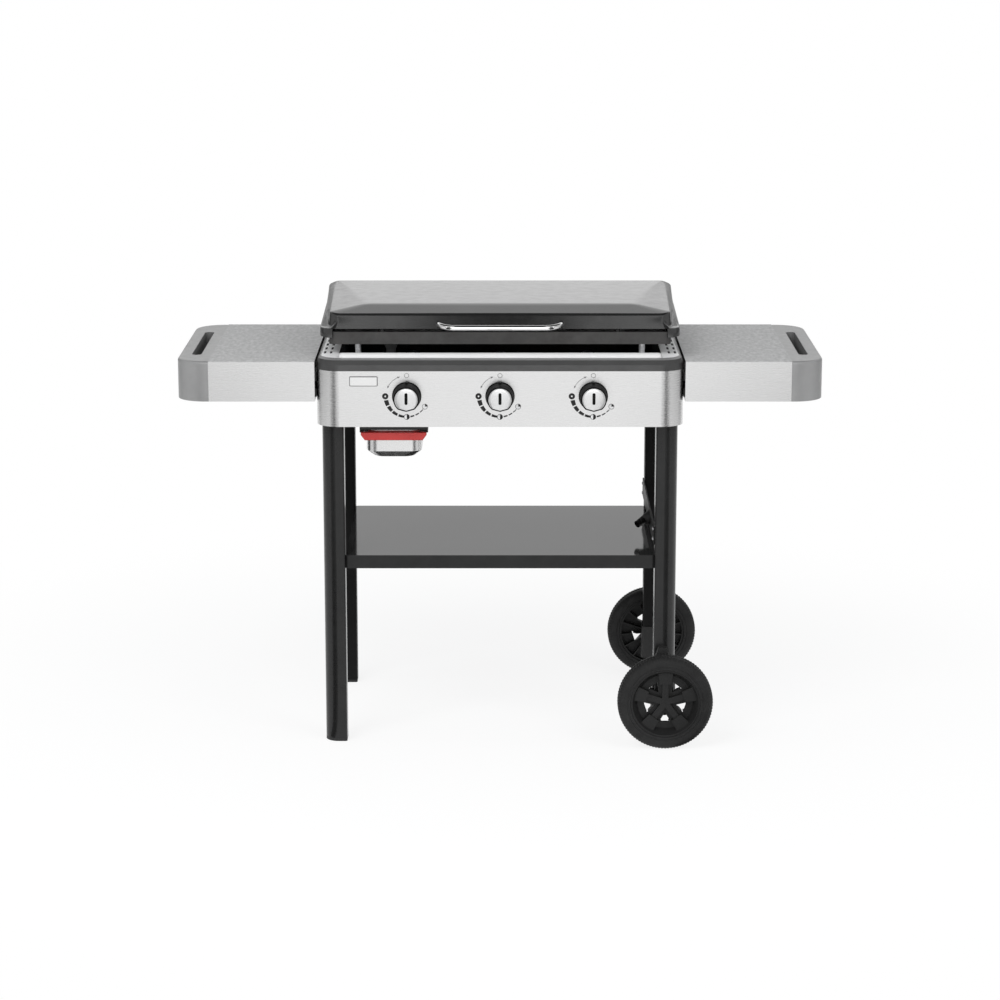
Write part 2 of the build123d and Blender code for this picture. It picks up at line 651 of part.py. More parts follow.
def side_vent():
    """Right vent strip with two rows of slots."""
    half = CONSOLE_W / 2
    region = block(DECK_HALF_W, half, CONSOLE_FRONT_Y, CONSOLE_BACK_Y, DECK_UNDER_Z, DECK_Z)
    strip = deck_sheet() & region
    mid_x = (DECK_HALF_W + half - BEZEL_RUN_SIDE - DECK_T) / 2 + VENT_OUT
    first_y = CONSOLE_FRONT_Y + VENT_FRONT
    slot = extrude(SlotOverall(VENT_SLOT_L, VENT_SLOT_W, rotation=90), 2 * DECK_T)
    for row in range(VENT_ROWS):
        for column in (-0.5, 0.5):
            x = mid_x + column * VENT_COLUMN_STEP
            strip -= Pos(x, first_y + row * VENT_PITCH, DECK_UNDER_Z - DECK_T / 2) * slot
    return strip


def firebox():
    """Open box that holds the burners, with a ledge at the rear for the plate posts."""
    half = FIREBOX_W / 2
    y = FIREBOX_Y
    box = block(-half, half, -y, y, FIREBOX_Z, DECK_UNDER_Z)
    box -= block(-half + SHEET, half - SHEET, -y + SHEET, y - SHEET, FIREBOX_Z + SHEET, DECK_UNDER_Z)
    box += block(-half, half, y - REAR_LEDGE, y, DECK_UNDER_Z - SHEET, DECK_UNDER_Z)
    for x in KNOB_XS.values():
        box -= rod_y(x, -y - 1, -y + 2 * SHEET, KNOB_Z, BURNER_NECK_R + BOLT_PLAY)
    return box


def rear_panel():
    """Back of the console with the rear deck folded forward."""
    half = CONSOLE_W / 2
    back = block(-half, half, CONSOLE_BACK_Y - SHEET, CONSOLE_BACK_Y, CONSOLE_Z, DECK_Z)
    deck = DECK_HALF_W - SEAT_GAP
    flange = block(-deck, deck, FIREBOX_Y - SHEET, CONSOLE_BACK_Y, DECK_UNDER_Z, DECK_Z)
    return back + flange


# Gas train
def manifold_bar():
    """Outside of the straight manifold pipe."""
    start = -KNOB_STEP - MANIFOLD_END_MARGIN
    return rod_x(start, MANIFOLD_INLET_X + MANIFOLD_R, MANIFOLD_Y, MANIFOLD_Z, MANIFOLD_R)


def gas_manifold():
    """Manifold with welded tabs to the firebox and an inlet pointing down at its right end."""
    pipe = manifold_bar()
    for x in (-KNOB_STEP / 2, KNOB_STEP / 2):
        low = MANIFOLD_Z - MANIFOLD_TAB_H / 2
        pipe += block(x - MANIFOLD_TAB_W / 2, x + MANIFOLD_TAB_W / 2, MANIFOLD_Y, -FIREBOX_Y,
                      low, low + MANIFOLD_TAB_H)
    bottom = MANIFOLD_Z - MANIFOLD_R - INLET_HEX_H - INLET_L
    pipe += rod_z(MANIFOLD_INLET_X, MANIFOLD_Y, bottom, MANIFOLD_Z, INLET_R)
    hexagon = extrude(RegularPolygon(INLET_HEX_R, 6), INLET_HEX_H + MANIFOLD_R / 2)
    pipe += Pos(MANIFOLD_INLET_X, MANIFOLD_Y, bottom + INLET_L) * hexagon
    wall = MANIFOLD_R - MANIFOLD_BORE_R
    start = -KNOB_STEP - MANIFOLD_END_MARGIN + wall
    end = MANIFOLD_INLET_X + MANIFOLD_R - wall
    pipe -= rod_x(start, end, MANIFOLD_Y, MANIFOLD_Z, MANIFOLD_BORE_R)
    pipe -= rod_z(MANIFOLD_INLET_X, MANIFOLD_Y, bottom, MANIFOLD_Z, INLET_BORE_R)
    return pipe


def valve_body(x):
    """Gas valve seated on the manifold, with a chamber for its plug and a nozzle behind."""
    body = rod_y(x, VALVE_FRONT_Y, VALVE_BACK_Y, KNOB_Z, VALVE_R)
    body += rod_z(x, MANIFOLD_Y, MANIFOLD_Z, KNOB_Z, VALVE_STUB_R)
    body += rod_y(x, VALVE_BACK_Y, VALVE_BACK_Y + NOZZLE_L, KNOB_Z, NOZZLE_R)
    body -= manifold_bar()
    chamber_back = VALVE_BACK_Y - VALVE_END_T
    body -= rod_y(x, PLUG_FRONT_Y - SLIDE_GAP, chamber_back, KNOB_Z, PLUG_R + RUN_FIT)
    body -= rod_y(x, VALVE_FRONT_Y, PLUG_FRONT_Y, KNOB_Z, STEM_R + SLIDE_GAP)
    body -= rod_y(x, chamber_back, VALVE_BACK_Y + NOZZLE_L, KNOB_Z, NOZZLE_BORE_R)
    return body


def valve_plug(x):
    """Turning plug with a socket for the stem."""
    plug = rod_y(x, PLUG_FRONT_Y, PLUG_BACK_Y, KNOB_Z, PLUG_R)
    return plug - rod_y(x, PLUG_FRONT_Y, PLUG_FRONT_Y + SOCKET_L, KNOB_Z, STEM_R + RUN_FIT)


def valve_stem(x):
    """Stem from the plug out to the knob."""
    return rod_y(x, GRIP_BACK_Y - STEM_IN_GRIP, PLUG_FRONT_Y + STEM_IN_PLUG, KNOB_Z, STEM_R)


def knob_bezel(x):
    """Black ring on the fascia behind a knob."""
    ring = rod_y(x, CONSOLE_FRONT_Y - KNOB_BEZEL_T, CONSOLE_FRONT_Y, KNOB_Z, KNOB_BEZEL_R)
    ring = chamfer(ring.edges().group_by(Axis.Y)[0], KNOB_BEZEL_T / 3)
    return ring - rod_y(x, CONSOLE_FRONT_Y - 10, CONSOLE_FRONT_Y, KNOB_Z, KNOB_BEZEL_BORE_R)


def tip_cut(x, tip_r, y0, y1):
    """Wedge that gives a knob its shallow V at the lower side."""
    wide = 2 * KNOB_BEZEL_R
    rise = wide * math.tan(math.radians(GRIP_TIP_SLOPE))
    low = KNOB_Z - tip_r
    points = [(x, y0, low), (x + wide, y0, low + rise), (x + wide, y0, low - wide),
              (x - wide, y0, low - wide), (x - wide, y0, low + rise)]
    return extrude(make_face(Polyline(*points, close=True)), y1 - y0, dir=(0, 1, 0))


def knob_grip(x):
    """Black knob body with a hub for the stem and a pointer at the top."""
    cone = Cone(GRIP_BACK_R, GRIP_FRONT_R, GRIP_L)
    grip = Pos(x, (GRIP_BACK_Y + GRIP_FRONT_Y) / 2, KNOB_Z) * Rot(90, 0, 0) * cone
    grip += rod_y(x, GRIP_BACK_Y, GRIP_BACK_Y + GRIP_HUB_L, KNOB_Z, GRIP_HUB_R)
    grip -= tip_cut(x, GRIP_TIP_R, GRIP_FRONT_Y, GRIP_BACK_Y)
    grip += block(x - POINTER_W / 2, x + POINTER_W / 2, GRIP_BACK_Y - POINTER_L, GRIP_BACK_Y,
                  KNOB_Z, KNOB_Z + GRIP_BACK_R + POINTER_H)
    reach = GRIP_BACK_Y - STEM_IN_GRIP
    return grip - rod_y(x, reach, GRIP_BACK_Y + GRIP_HUB_L, KNOB_Z, STEM_R + RUN_FIT)


def knob_cap(x):
    """Silver cap on the front of a knob."""
    cap = rod_y(x, GRIP_FRONT_Y - CAP_T, GRIP_FRONT_Y, KNOB_Z, CAP_R)
    cap -= tip_cut(x, GRIP_TIP_R - (GRIP_FRONT_R - CAP_R), GRIP_FRONT_Y - CAP_T, GRIP_FRONT_Y)
    return chamfer(cap.faces().sort_by(Axis.Y)[0].edges(), CAP_T / 4)


def burner(x):
    """Tube burner with a mixing neck in front, ports along both sides and a stub behind."""
    tube_back = FIREBOX_Y - SHEET - BURNER_REAR_GAP
    body = rod_y(x, BURNER_FRONT_Y, tube_back, KNOB_Z, BURNER_R)
    body += rod_y(x, BURNER_MOUTH_Y, BURNER_FRONT_Y, KNOB_Z, BURNER_NECK_R)
    body += rod_y(x, tube_back, FIREBOX_Y - SHEET, KNOB_Z, BURNER_STUB_R)
    body -= rod_y(x, BURNER_FRONT_Y + BURNER_T, tube_back - BURNER_T, KNOB_Z, BURNER_R - BURNER_T)
    body -= rod_y(x, BURNER_MOUTH_Y, BURNER_FRONT_Y + 2 * BURNER_T, KNOB_Z, BURNER_NECK_R - BURNER_T)
    step = (tube_back - BURNER_FRONT_Y) / (PORT_COUNT + 1)
    for i in range(PORT_COUNT):
        y = BURNER_FRONT_Y + (i + 1) * step
        body -= rod_x(x - 2 * BURNER_R, x + 2 * BURNER_R, y, KNOB_Z + BURNER_R / 3, PORT_R)
    return body


def electrode(x):
    """Spark electrode beside a burner, on the front wall of the firebox."""
    y0 = -FIREBOX_Y + SHEET
    z = KNOB_Z + ELECTRODE_RISE
    rod = rod_y(x + ELECTRODE_SIDE, y0, y0 + ELECTRODE_L, z, ELECTRODE_R)
    end = y0 + ELECTRODE_L
    return rod + rod_y(x + ELECTRODE_SIDE, end, end + SPARK_WIRE_L, z, SPARK_WIRE_R)


def ignition_module():
    """Igniter box on the front of the firebox."""
    w, d, h = MODULE_SIZE
    z = CONSOLE_Z + MODULE_RISE
    return block(MODULE_X - w / 2, MODULE_X + w / 2, -FIREBOX_Y - d, -FIREBOX_Y, z, z + h)


# Cooktop
def griddle_plate():
    """Plate with raised walls, a lower trough along the front and a drain hole."""
    half = PLATE_W / 2
    step_y = PLATE_FRONT_Y + PLATE_T + TROUGH_W
    floor_z = PLATE_Z + TROUGH_DROP
    plate = slab(-half, half, PLATE_FRONT_Y, PLATE_BACK_Y, PLATE_Z, PLATE_TOP_Z, PLATE_CORNER_R)
    plate -= block(-half, half, step_y + PLATE_T, PLATE_BACK_Y, PLATE_Z, floor_z)
    x = half - PLATE_T
    inner_r = PLATE_CORNER_R - PLATE_T
    well = slab(-x, x, PLATE_FRONT_Y + PLATE_T, PLATE_BACK_Y - PLATE_T, PLATE_Z + PLATE_T,
                PLATE_TOP_Z, inner_r)
    land = block(-half, half, step_y, PLATE_BACK_Y, PLATE_Z, floor_z + PLATE_T)
    plate -= well - land
    return plate - rod_z(DRAIN_X, DRAIN_Y, PLATE_Z - 1, PLATE_TOP_Z, DRAIN_R)


def plate_posts():
    """Four posts the plate stands on: two on the deck, two on the ledge of the firebox."""
    front_y = PLATE_FRONT_Y + POST_FRONT_SETBACK
    rear_y = PLATE_BACK_Y - POST_REAR_SETBACK
    posts = []
    for x in (-POST_X, POST_X):
        posts.append(rod_z(x, front_y, DECK_Z, PLATE_Z, POST_R))
        posts.append(rod_z(x, rear_y, DECK_UNDER_Z, PLATE_Z + TROUGH_DROP, POST_R))
    return group(posts)


def grease_chute():
    """Funnel and tube from the drain hole down through the deck to the tray."""
    neck_z = PLATE_Z - CHUTE_FUNNEL_H
    low_z = CONSOLE_Z - CHUTE_DROP
    half = CHUTE_FUNNEL_H / 2
    body = rod_z(DRAIN_X, DRAIN_Y, low_z, neck_z, CHUTE_R)
    body += Pos(DRAIN_X, DRAIN_Y, neck_z + half) * Cone(CHUTE_R, CHUTE_FUNNEL_R, CHUTE_FUNNEL_H)
    body += rod_z(DRAIN_X, DRAIN_Y, DECK_Z, DECK_Z + CHUTE_COLLAR_T, CHUTE_COLLAR_R)
    bore = CHUTE_R - CHUTE_WALL
    mouth = CHUTE_FUNNEL_R - CHUTE_WALL
    body -= rod_z(DRAIN_X, DRAIN_Y, low_z, neck_z, bore)
    return body - Pos(DRAIN_X, DRAIN_Y, neck_z + half) * Cone(bore, mouth, CHUTE_FUNNEL_H)


# Grease tray; half widths count from its middle outwards
TRAY_TOP_Z = CONSOLE_Z - TRAY_DROP
RING_IN = PAN_W / 2 + PAN_PLAY
RING_OUT = RING_IN + TRAY_WALL
FLANGE_OUT = RING_OUT + TRAY_FLANGE_W
RAIL_IN = FLANGE_OUT + SLIDE_GAP
RING_FRONT_Y = PAN_FRONT_Y - PAN_PLAY - TRAY_WALL
RING_BACK_Y = PAN_FRONT_Y + PAN_D + PAN_PLAY + TRAY_WALL
FLANGE_Z = TRAY_TOP_Z - TRAY_FLANGE_T
RAIL_FRONT_Y = RING_FRONT_Y
RAIL_BACK_Y = RAIL_FRONT_Y + RAIL_L


def tray_front():
    """Red front of the tray, narrower towards its lower edge."""
    y = RING_FRONT_Y
    top = TRAY_TOP_Z - TRAY_FLANGE_T
    low = top - TRAY_FRONT_H
    half = TRAY_FRONT_W / 2
    points = [(GREASE_X - half, y, top), (GREASE_X + half, y, top),
              (GREASE_X + half, y, top - TRAY_FRONT_H / 3),
              (GREASE_X + half - TRAY_FRONT_TAPER, y, low),
              (GREASE_X - half + TRAY_FRONT_TAPER, y, low),
              (GREASE_X - half, y, top - TRAY_FRONT_H / 3)]
    solid = extrude(make_face(Polyline(*points, close=True)), TRAY_FRONT_T, dir=(0, -1, 0))
    return fillet(solid.faces().sort_by(Axis.Y)[0].edges(), LEG_EDGE_R / 2)


def tray_frame():
    """Sliding frame: front, a ring round the pan and a flange at each side."""
    low = TRAY_TOP_Z - TRAY_RING_H
    ring = slab(GREASE_X - RING_OUT, GREASE_X + RING_OUT, RING_FRONT_Y, RING_BACK_Y,
                low, TRAY_TOP_Z, PAN_CORNER_R + TRAY_WALL)
    flange = block(GREASE_X - FLANGE_OUT, GREASE_X + FLANGE_OUT, RING_FRONT_Y + PAN_CORNER_R,
                   RING_BACK_Y - PAN_CORNER_R, FLANGE_Z, TRAY_TOP_Z)
    hole = slab(GREASE_X - RING_IN, GREASE_X + RING_IN, RING_FRONT_Y + TRAY_WALL,
                RING_BACK_Y - TRAY_WALL, low, TRAY_TOP_Z, PAN_CORNER_R)
    return ring + flange - hole + tray_front()


def pan_shape(inset):
    """Tapered body of the drip pan; the inside is the same shape set in by the wall."""
    mid_y = PAN_FRONT_Y + PAN_D / 2
    w = PAN_W - 2 * inset
    d = PAN_D - 2 * inset
    r = PAN_CORNER_R - inset
    low_z = TRAY_TOP_Z - PAN_H + inset
    knee_z = low_z + PAN_KNEE_H
    low = RectangleRounded(w - 2 * PAN_TAPER, d - 2 * PAN_TAPER, r)
    wide = RectangleRounded(w, d, r)
    foot = loft([Pos(GREASE_X, mid_y, low_z) * low, Pos(GREASE_X, mid_y, knee_z) * wide], ruled=True)
    return foot + extrude(Pos(GREASE_X, mid_y, knee_z) * wide, TRAY_TOP_Z - knee_z)


def drip_pan():
    """Foil pan hanging by its rim in the frame."""
    mid_y = PAN_FRONT_Y + PAN_D / 2
    wide = RectangleRounded(PAN_W + 2 * PAN_RIM, PAN_D + 2 * PAN_RIM, PAN_CORNER_R + PAN_RIM)
    rim_plate = extrude(Pos(GREASE_X, mid_y, TRAY_TOP_Z) * wide, PAN_T)
    inner = pan_shape(PAN_T)
    mouth = RectangleRounded(PAN_W - 2 * PAN_T, PAN_D - 2 * PAN_T, PAN_CORNER_R - PAN_T)
    mouth = extrude(Pos(GREASE_X, mid_y, TRAY_TOP_Z - PAN_T) * mouth, 3 * PAN_T)
    return pan_shape(0) + rim_plate - inner - mouth


def tray_rails():
    """Holder under the firebox: two rails with inward lips and a front apron."""
    lip_in = RING_OUT + RAIL_LIP_GAP
    lip_top = FLANGE_Z - SLIDE_GAP
    low = lip_top - RAIL_T
    outer = RAIL_IN + RAIL_T
    holder = None
    for side in (-1, 1):
        near = GREASE_X + side * RAIL_IN
        far = GREASE_X + side * outer
        lip = GREASE_X + side * lip_in
        foot = GREASE_X + side * (outer + RAIL_FOOT_W)
        wall = block(min(near, far), max(near, far), RAIL_FRONT_Y, RAIL_BACK_Y, low, FIREBOX_Z)
        wall += block(min(lip, far), max(lip, far), RAIL_FRONT_Y, RAIL_BACK_Y, low, lip_top)
        wall += block(min(near, foot), max(near, foot), -FIREBOX_Y, RAIL_BACK_Y,
                      FIREBOX_Z - RAIL_T, FIREBOX_Z)
        holder = wall if holder is None else holder + wall
    apron_z = TRAY_TOP_Z + 2 * PAN_T + SLIDE_GAP
    return holder + block(GREASE_X - outer, GREASE_X + outer, RAIL_FRONT_Y, RAIL_FRONT_Y + RAIL_T,
                          apron_z, apron_z + APRON_H)


# Lid
def lid_plan(front_w, rear_w, y0, y1, radius):
    """Plan of the lid at one level; wider at the back, corners rounded."""
    corners = [(-front_w / 2, y0), (front_w / 2, y0), (rear_w / 2, y1), (-rear_w / 2, y1)]
    return outline(corners, [radius] * 4)


def lid_edge_face(inset):
    """Lower edge of the lid walls."""
    front_w = LID_W + 2 * (LID_FLARE - inset)
    rear_w = LID_W + 2 * (LID_REAR_SPREAD + LID_FLARE_REAR - inset)
    y0 = LID_FRONT_Y - LID_FLARE + inset
    y1 = LID_BACK_Y + LID_FLARE - inset
    return Pos(0, 0, LID_EDGE_Z) * lid_plan(front_w, rear_w, y0, y1, LID_CORNER_R + LID_FLARE - inset)


def lid_shoulder_face(inset):
    """Upper end of the lid walls; it climbs to the back."""
    rear_w = LID_W + 2 * (LID_REAR_SPREAD - inset)
    face = lid_plan(LID_W - 2 * inset, rear_w, inset, LID_D - inset, LID_CORNER_R - inset)
    tilt = math.degrees(math.atan2(LID_REAR_RISE, LID_D))
    return Pos(0, LID_FRONT_Y, LID_SHOULDER_Z - inset) * Rot(tilt, 0, 0) * face


def roof_face(inset):
    """Flat top of the lid; it reaches the back at nearly full width."""
    front_w = LID_W - 2 * (ROOF_SIDE_RUN + inset)
    rear_w = LID_W + 2 * (LID_REAR_SPREAD - ROOF_SIDE_RUN_REAR - inset)
    y0 = LID_FRONT_Y + ROOF_FRONT_RUN + inset
    y1 = LID_BACK_Y - ROOF_BACK_RUN - inset
    return Pos(0, 0, LID_TOP_Z - inset) * lid_plan(front_w, rear_w, y0, y1, ROOF_CORNER_R)


def lid_block(inset):
    """Hood without its side rims, set in by the sheet for the hollow."""
    hood = loft([lid_edge_face(inset), lid_shoulder_face(inset), roof_face(inset)], ruled=True)
    climb = LID_REAR_RISE / LID_D
    start = LID_SHOULDER_Z - inset - climb * LID_FRONT_Y
    shoulder = [edge for edge in hood.edges()
                if abs(edge.center().Z - start - climb * edge.center().Y) < 0.2]
    return fillet(shoulder, LID_EDGE_R - inset)


def lid_inside(z0):
    """Hollow of the hood, from z0 up."""
    return lid_block(LID_T) + extrude(lid_edge_face(LID_T), z0 - LID_EDGE_Z)


def lid_shell():
    """Pressed hood with side rims that hang lower, and a turned-in lip along the front."""
    low_z = LID_EDGE_Z - RIM_DROP
    rim_band = extrude(lid_edge_face(-RIM_OUT), -RIM_DROP)
    edge = LID_W / 2 + LID_FLARE - RIM_WRAP
    far = CONSOLE_W
    rim_band -= block(-edge, edge, -far, far, low_z, LID_EDGE_Z)
    rim_band -= block(-far, far, LID_BACK_Y - RIM_BACK_STOP, far, low_z, LID_EDGE_Z)
    lip_y = LID_FRONT_Y - LID_FLARE
    lip = block(-edge, edge, lip_y, lip_y + LIP_W + LID_T, LID_EDGE_Z, LID_EDGE_Z + LID_T)
    outside = lid_block(0)
    return outside + rim_band - lid_inside(low_z) + (lip & outside)


def lid_bumpers():
    """Rubber bumpers under the front lip."""
    y = PLATE_FRONT_Y + PLATE_T / 2
    z0 = PLATE_TOP_Z + SLIDE_GAP
    return group([rod_z(x, y, z0, LID_EDGE_Z, BUMPER_R) for x in (-BUMPER_X, BUMPER_X)])


def lid_handle():
    """Bent rod in front of the lid."""
    half = HANDLE_W / 2
    z = LID_EDGE_Z + HANDLE_RISE
    bar_z = z - HANDLE_DROP
    wall_y = LID_FRONT_Y - LID_FLARE * (LID_SHOULDER_Z - z) / LID_WALL_H
    bar_y = wall_y - HANDLE_REACH
    start_y = wall_y + 2 * HANDLE_R
    points = [(-half, start_y, z), (-half, wall_y - HANDLE_R, z), (-half + HANDLE_SPLAY, bar_y, bar_z),
              (half - HANDLE_SPLAY, bar_y, bar_z), (half, wall_y - HANDLE_R, z), (half, start_y, z)]
    path = FilletPolyline(*points, radius=HANDLE_BEND_R)
    rod = sweep(Plane(points[0], z_dir=(0, -1, 0)) * Circle(HANDLE_R), path=path)
    return rod - lid_block(0)


def lid_hinge_arm(x):
    """Arm from the back wall of the lid to the hinge pin."""
    high = LID_EDGE_Z + HINGE_ARM_HIGH
    low = LID_EDGE_Z + HINGE_ARM_LOW
    slope = LID_FLARE / (LID_REAR_Z - LID_EDGE_Z)
    points = [(LID_BACK_Y + slope * (LID_REAR_Z - high), high),
              (LID_BACK_Y + slope * (LID_REAR_Z - low), low),
              (HINGE_Y, HINGE_Z - HINGE_EYE_R), (HINGE_Y, HINGE_Z + HINGE_EYE_R)]
    x0 = x - HINGE_ARM_T / 2
    x1 = x + HINGE_ARM_T / 2
    arm = side_profile(points, x0, x1) + rod_x(x0, x1, HINGE_Y, HINGE_Z, HINGE_EYE_R)
    return arm - rod_x(x0, x1, HINGE_Y, HINGE_Z, HINGE_PIN_R + RUN_FIT)


def hinge_bracket(x):
    """Foot on the rear deck with an ear at each side of the arm."""
    inner = HINGE_ARM_T / 2 + END_GAP
    outer = inner + HINGE_EAR_T
    y0 = HINGE_Y - HINGE_EYE_R
    y1 = HINGE_Y + HINGE_EYE_R
    bracket = block(x - outer, x + outer, FIREBOX_Y, FIREBOX_Y + HINGE_FOOT_D, DECK_Z, DECK_Z + HINGE_FOOT_T)
    for a, b in ((x - outer, x - inner), (x + inner, x + outer)):
        bracket += block(a, b, y0, y1, DECK_Z, HINGE_Z)
        bracket += rod_x(a, b, HINGE_Y, HINGE_Z, HINGE_EYE_R)
    return bracket - rod_x(x - outer, x + outer, HINGE_Y, HINGE_Z, HINGE_PIN_R + RUN_FIT)


def hinge_pin(x):
    """Hinge pin with a head at each end."""
    outer = HINGE_ARM_T / 2 + END_GAP + HINGE_EAR_T
    end = outer + HINGE_PIN_HEAD_T
    pin = rod_x(x - end, x + end, HINGE_Y, HINGE_Z, HINGE_PIN_R)
    pin += rod_x(x - end, x - outer, HINGE_Y, HINGE_Z, HINGE_PIN_HEAD_R)
    return pin + rod_x(x + outer, x + end, HINGE_Y, HINGE_Z, HINGE_PIN_HEAD_R)


# Side tables, drawn at the right
def table_top():
    """Flat top sheet on the skirt."""
    return block(TABLE_X0, TABLE_X1, TABLE_FRONT_Y, TABLE_BACK_Y, TABLE_TOP_Z - SHEET, TABLE_TOP_Z)


def table_skirt():
    """Front, back and inner side in one bent sheet, hemmed below."""
    top = TABLE_TOP_Z - SHEET
    far = TABLE_X1 + 1
    body = block(TABLE_X0, TABLE_X1, TABLE_FRONT_Y, TABLE_BACK_Y, TABLE_Z, top)
    body -= block(TABLE_X0 + SHEET, far, TABLE_FRONT_Y + SHEET, TABLE_BACK_Y - SHEET,
                  TABLE_Z + SHEET, top)
    body -= block(TABLE_X0 + TABLE_HEM, far, TABLE_FRONT_Y + TABLE_HEM, TABLE_BACK_Y - TABLE_HEM,
                  TABLE_Z, top)
    for y, z in TABLE_BOLTS:
        body -= bolt_hole_x(TABLE_X0 - 1, TABLE_X0 + 2 * SHEET, y, z)
    return body


def cap_face(inset):
    """Plan of the end cap; the two outer corners are large."""
    x1 = TABLE_X2 - inset
    y0 = TABLE_FRONT_Y + inset
    y1 = TABLE_BACK_Y - inset
    r = END_CAP_R - inset
    return outline([(TABLE_X1, y0), (x1, y0), (x1, y1), (TABLE_X1, y1)], [0, r, r, 0])


def table_end_cap():
    """Moulded end of the table, hollow, with a hand slot through it."""
    body = extrude(Pos(0, 0, TABLE_Z) * cap_face(0), TABLE_H)
    rim_edges = [edge for edge in body.faces().sort_by(Axis.Z)[-1].edges()
                 if edge.center().X > TABLE_X1 + 1]
    body = fillet(rim_edges, END_CAP_EDGE_R)
    body -= extrude(Pos(0, 0, TABLE_Z) * cap_face(END_CAP_T), TABLE_H - END_CAP_T)
    slot_x = TABLE_X1 + SLOT_INSET + SLOT_W / 2
    slot_y = TABLE_MID_Y + SLOT_SHIFT_Y
    sleeve = SlotOverall(SLOT_L + 2 * END_CAP_T, SLOT_W + 2 * END_CAP_T, rotation=90)
    body += extrude(Pos(slot_x, slot_y, TABLE_TOP_Z - SLEEVE_H) * sleeve, SLEEVE_H - END_CAP_T / 2)
    slot = SlotOverall(SLOT_L, SLOT_W, rotation=90)
    return body - extrude(Pos(slot_x, slot_y, TABLE_Z) * slot, 2 * TABLE_H)


def table_rail(z):
    """Mounting rail in the gap between the console and the table."""
    half = TABLE_RAIL_H / 2
    y0 = TABLE_FRONT_Y + TABLE_RAIL_INSET
    y1 = TABLE_BACK_Y - TABLE_RAIL_INSET
    rail = block(CONSOLE_W / 2, TABLE_X0, y0, y1, z - half, z + half)
    for y in TABLE_BOLT_YS:
        rail -= bolt_hole_x(CONSOLE_W / 2 - 1, TABLE_X0 + 1, y, z)
    return rail


def frame_bolts():
    """Bolts with their nuts: shelf to legs, tables to console."""
    inner_x = LEG_IN_X - SHEET
    right = []
    for y in (-LEG_Y, LEG_Y):
        right.append(bolt_x(inner_x, LEG_IN_X + LEG_WALL, y, SHELF_BOLT_Z))
    outer_x = TABLE_X0 + SHEET
    inside_x = CONSOLE_W / 2 - SHEET
    for y, z in TABLE_BOLTS:
        turned_bolt = bolt_x(-outer_x, -inside_x, y, z)
        right.append(left_of(turned_bolt))
    return group(right + [left_of(piece) for piece in right])


# Every node of the assembly
def build_nodes():
    nodes = {}
    nodes["right_rear_leg"] = leg(RIGHT_LEG_Z)
    nodes["right_front_leg"] = behind(leg(RIGHT_LEG_Z))
    nodes["left_rear_leg"] = left_of(leg(CAP_H))
    nodes["left_front_leg"] = left_of(behind(leg(CAP_H)))
    right_cap = end_cap(RIGHT_LEG_Z)
    left_cap = left_of(end_cap(CAP_H))
    nodes["leg_end_caps"] = group([right_cap, behind(right_cap), left_cap, behind(left_cap)])
    nodes["shelf"] = shelf()
    nodes["tank_hanger"] = tank_hanger()
    nodes["frame_bolts"] = frame_bolts()
    nodes["front_wheel_rim"] = rim()
    nodes["front_wheel_tyre"] = tyre()
    nodes["rear_wheel_rim"] = behind(nodes["front_wheel_rim"])
    nodes["rear_wheel_tyre"] = behind(nodes["front_wheel_tyre"])
    nodes["wheel_axles"] = group([axle(), behind(axle())])
    nodes["axle_brackets"] = group([axle_bracket(), behind(axle_bracket())])

    nodes["front_fascia"] = front_fascia()
    nodes["top_bezel"] = to_back(bezel_loft(0) - bezel_loft(DECK_T))
    nodes["front_rim"] = front_rim()
    nodes["right_side_vent"] = side_vent()
    nodes["left_side_vent"] = left_of(nodes["right_side_vent"])
    nodes["firebox"] = firebox()
    nodes["rear_panel"] = rear_panel()

    nodes["gas_manifold"] = gas_manifold()
    nodes["valve_bodies"] = group([valve_body(x) for x in KNOB_XS.values()])
    nodes["igniter_electrodes"] = group([electrode(x) for x in KNOB_XS.values()])
    nodes["ignition_module"] = ignition_module()
    nodes["knob_bezels"] = group([knob_bezel(x) for x in KNOB_XS.values()])
    for name, x in KNOB_XS.items():
        nodes[name + "_burner"] = burner(x)
        nodes[name + "_valve_plug"] = valve_plug(x)
        nodes[name + "_valve_stem"] = valve_stem(x)
        nodes[name + "_knob_grip"] = knob_grip(x)
        nodes[name + "_knob_cap"] = knob_cap(x)

    nodes["griddle_plate"] = griddle_plate()
    nodes["plate_posts"] = plate_posts()
    nodes["grease_chute"] = grease_chute()
    nodes["tray_rails"] = tray_rails()
    nodes["tray_frame"] = tray_frame()
    nodes["drip_pan"] = drip_pan()

    nodes["lid_shell"] = lid_shell()
    nodes["lid_handle"] = lid_handle()
    nodes["lid_bumpers"] = lid_bumpers()
    nodes["lid_hinge_arms"] = group([lid_hinge_arm(-HINGE_X), lid_hinge_arm(HINGE_X)])
    nodes["hinge_brackets"] = group([hinge_bracket(-HINGE_X), hinge_bracket(HINGE_X)])
    nodes["hinge_pins"] = group([hinge_pin(-HINGE_X), hinge_pin(HINGE_X)])

    nodes["right_table_top"] = table_top()
    nodes["right_table_skirt"] = table_skirt()
    nodes["right_table_end_cap"] = table_end_cap()
    for piece in ("top", "skirt", "end_cap"):
        nodes["left_table_" + piece] = left_of(nodes["right_table_" + piece])
    rails = [table_rail(z) for z in TABLE_RAIL_ZS]
    nodes["table_rails"] = group(rails + [left_of(rail) for rail in rails])
    return nodes


# The origin lies under the middle of the whole object
to_origin = Location((0, -(FRONT_Y + BACK_Y) / 2, 0))
os.makedirs("parts", exist_ok=True)
for node_name, shape in build_nodes().items():
    export_step(shape.moved(to_origin), f"parts/{node_name}.step")
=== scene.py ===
import json
import math

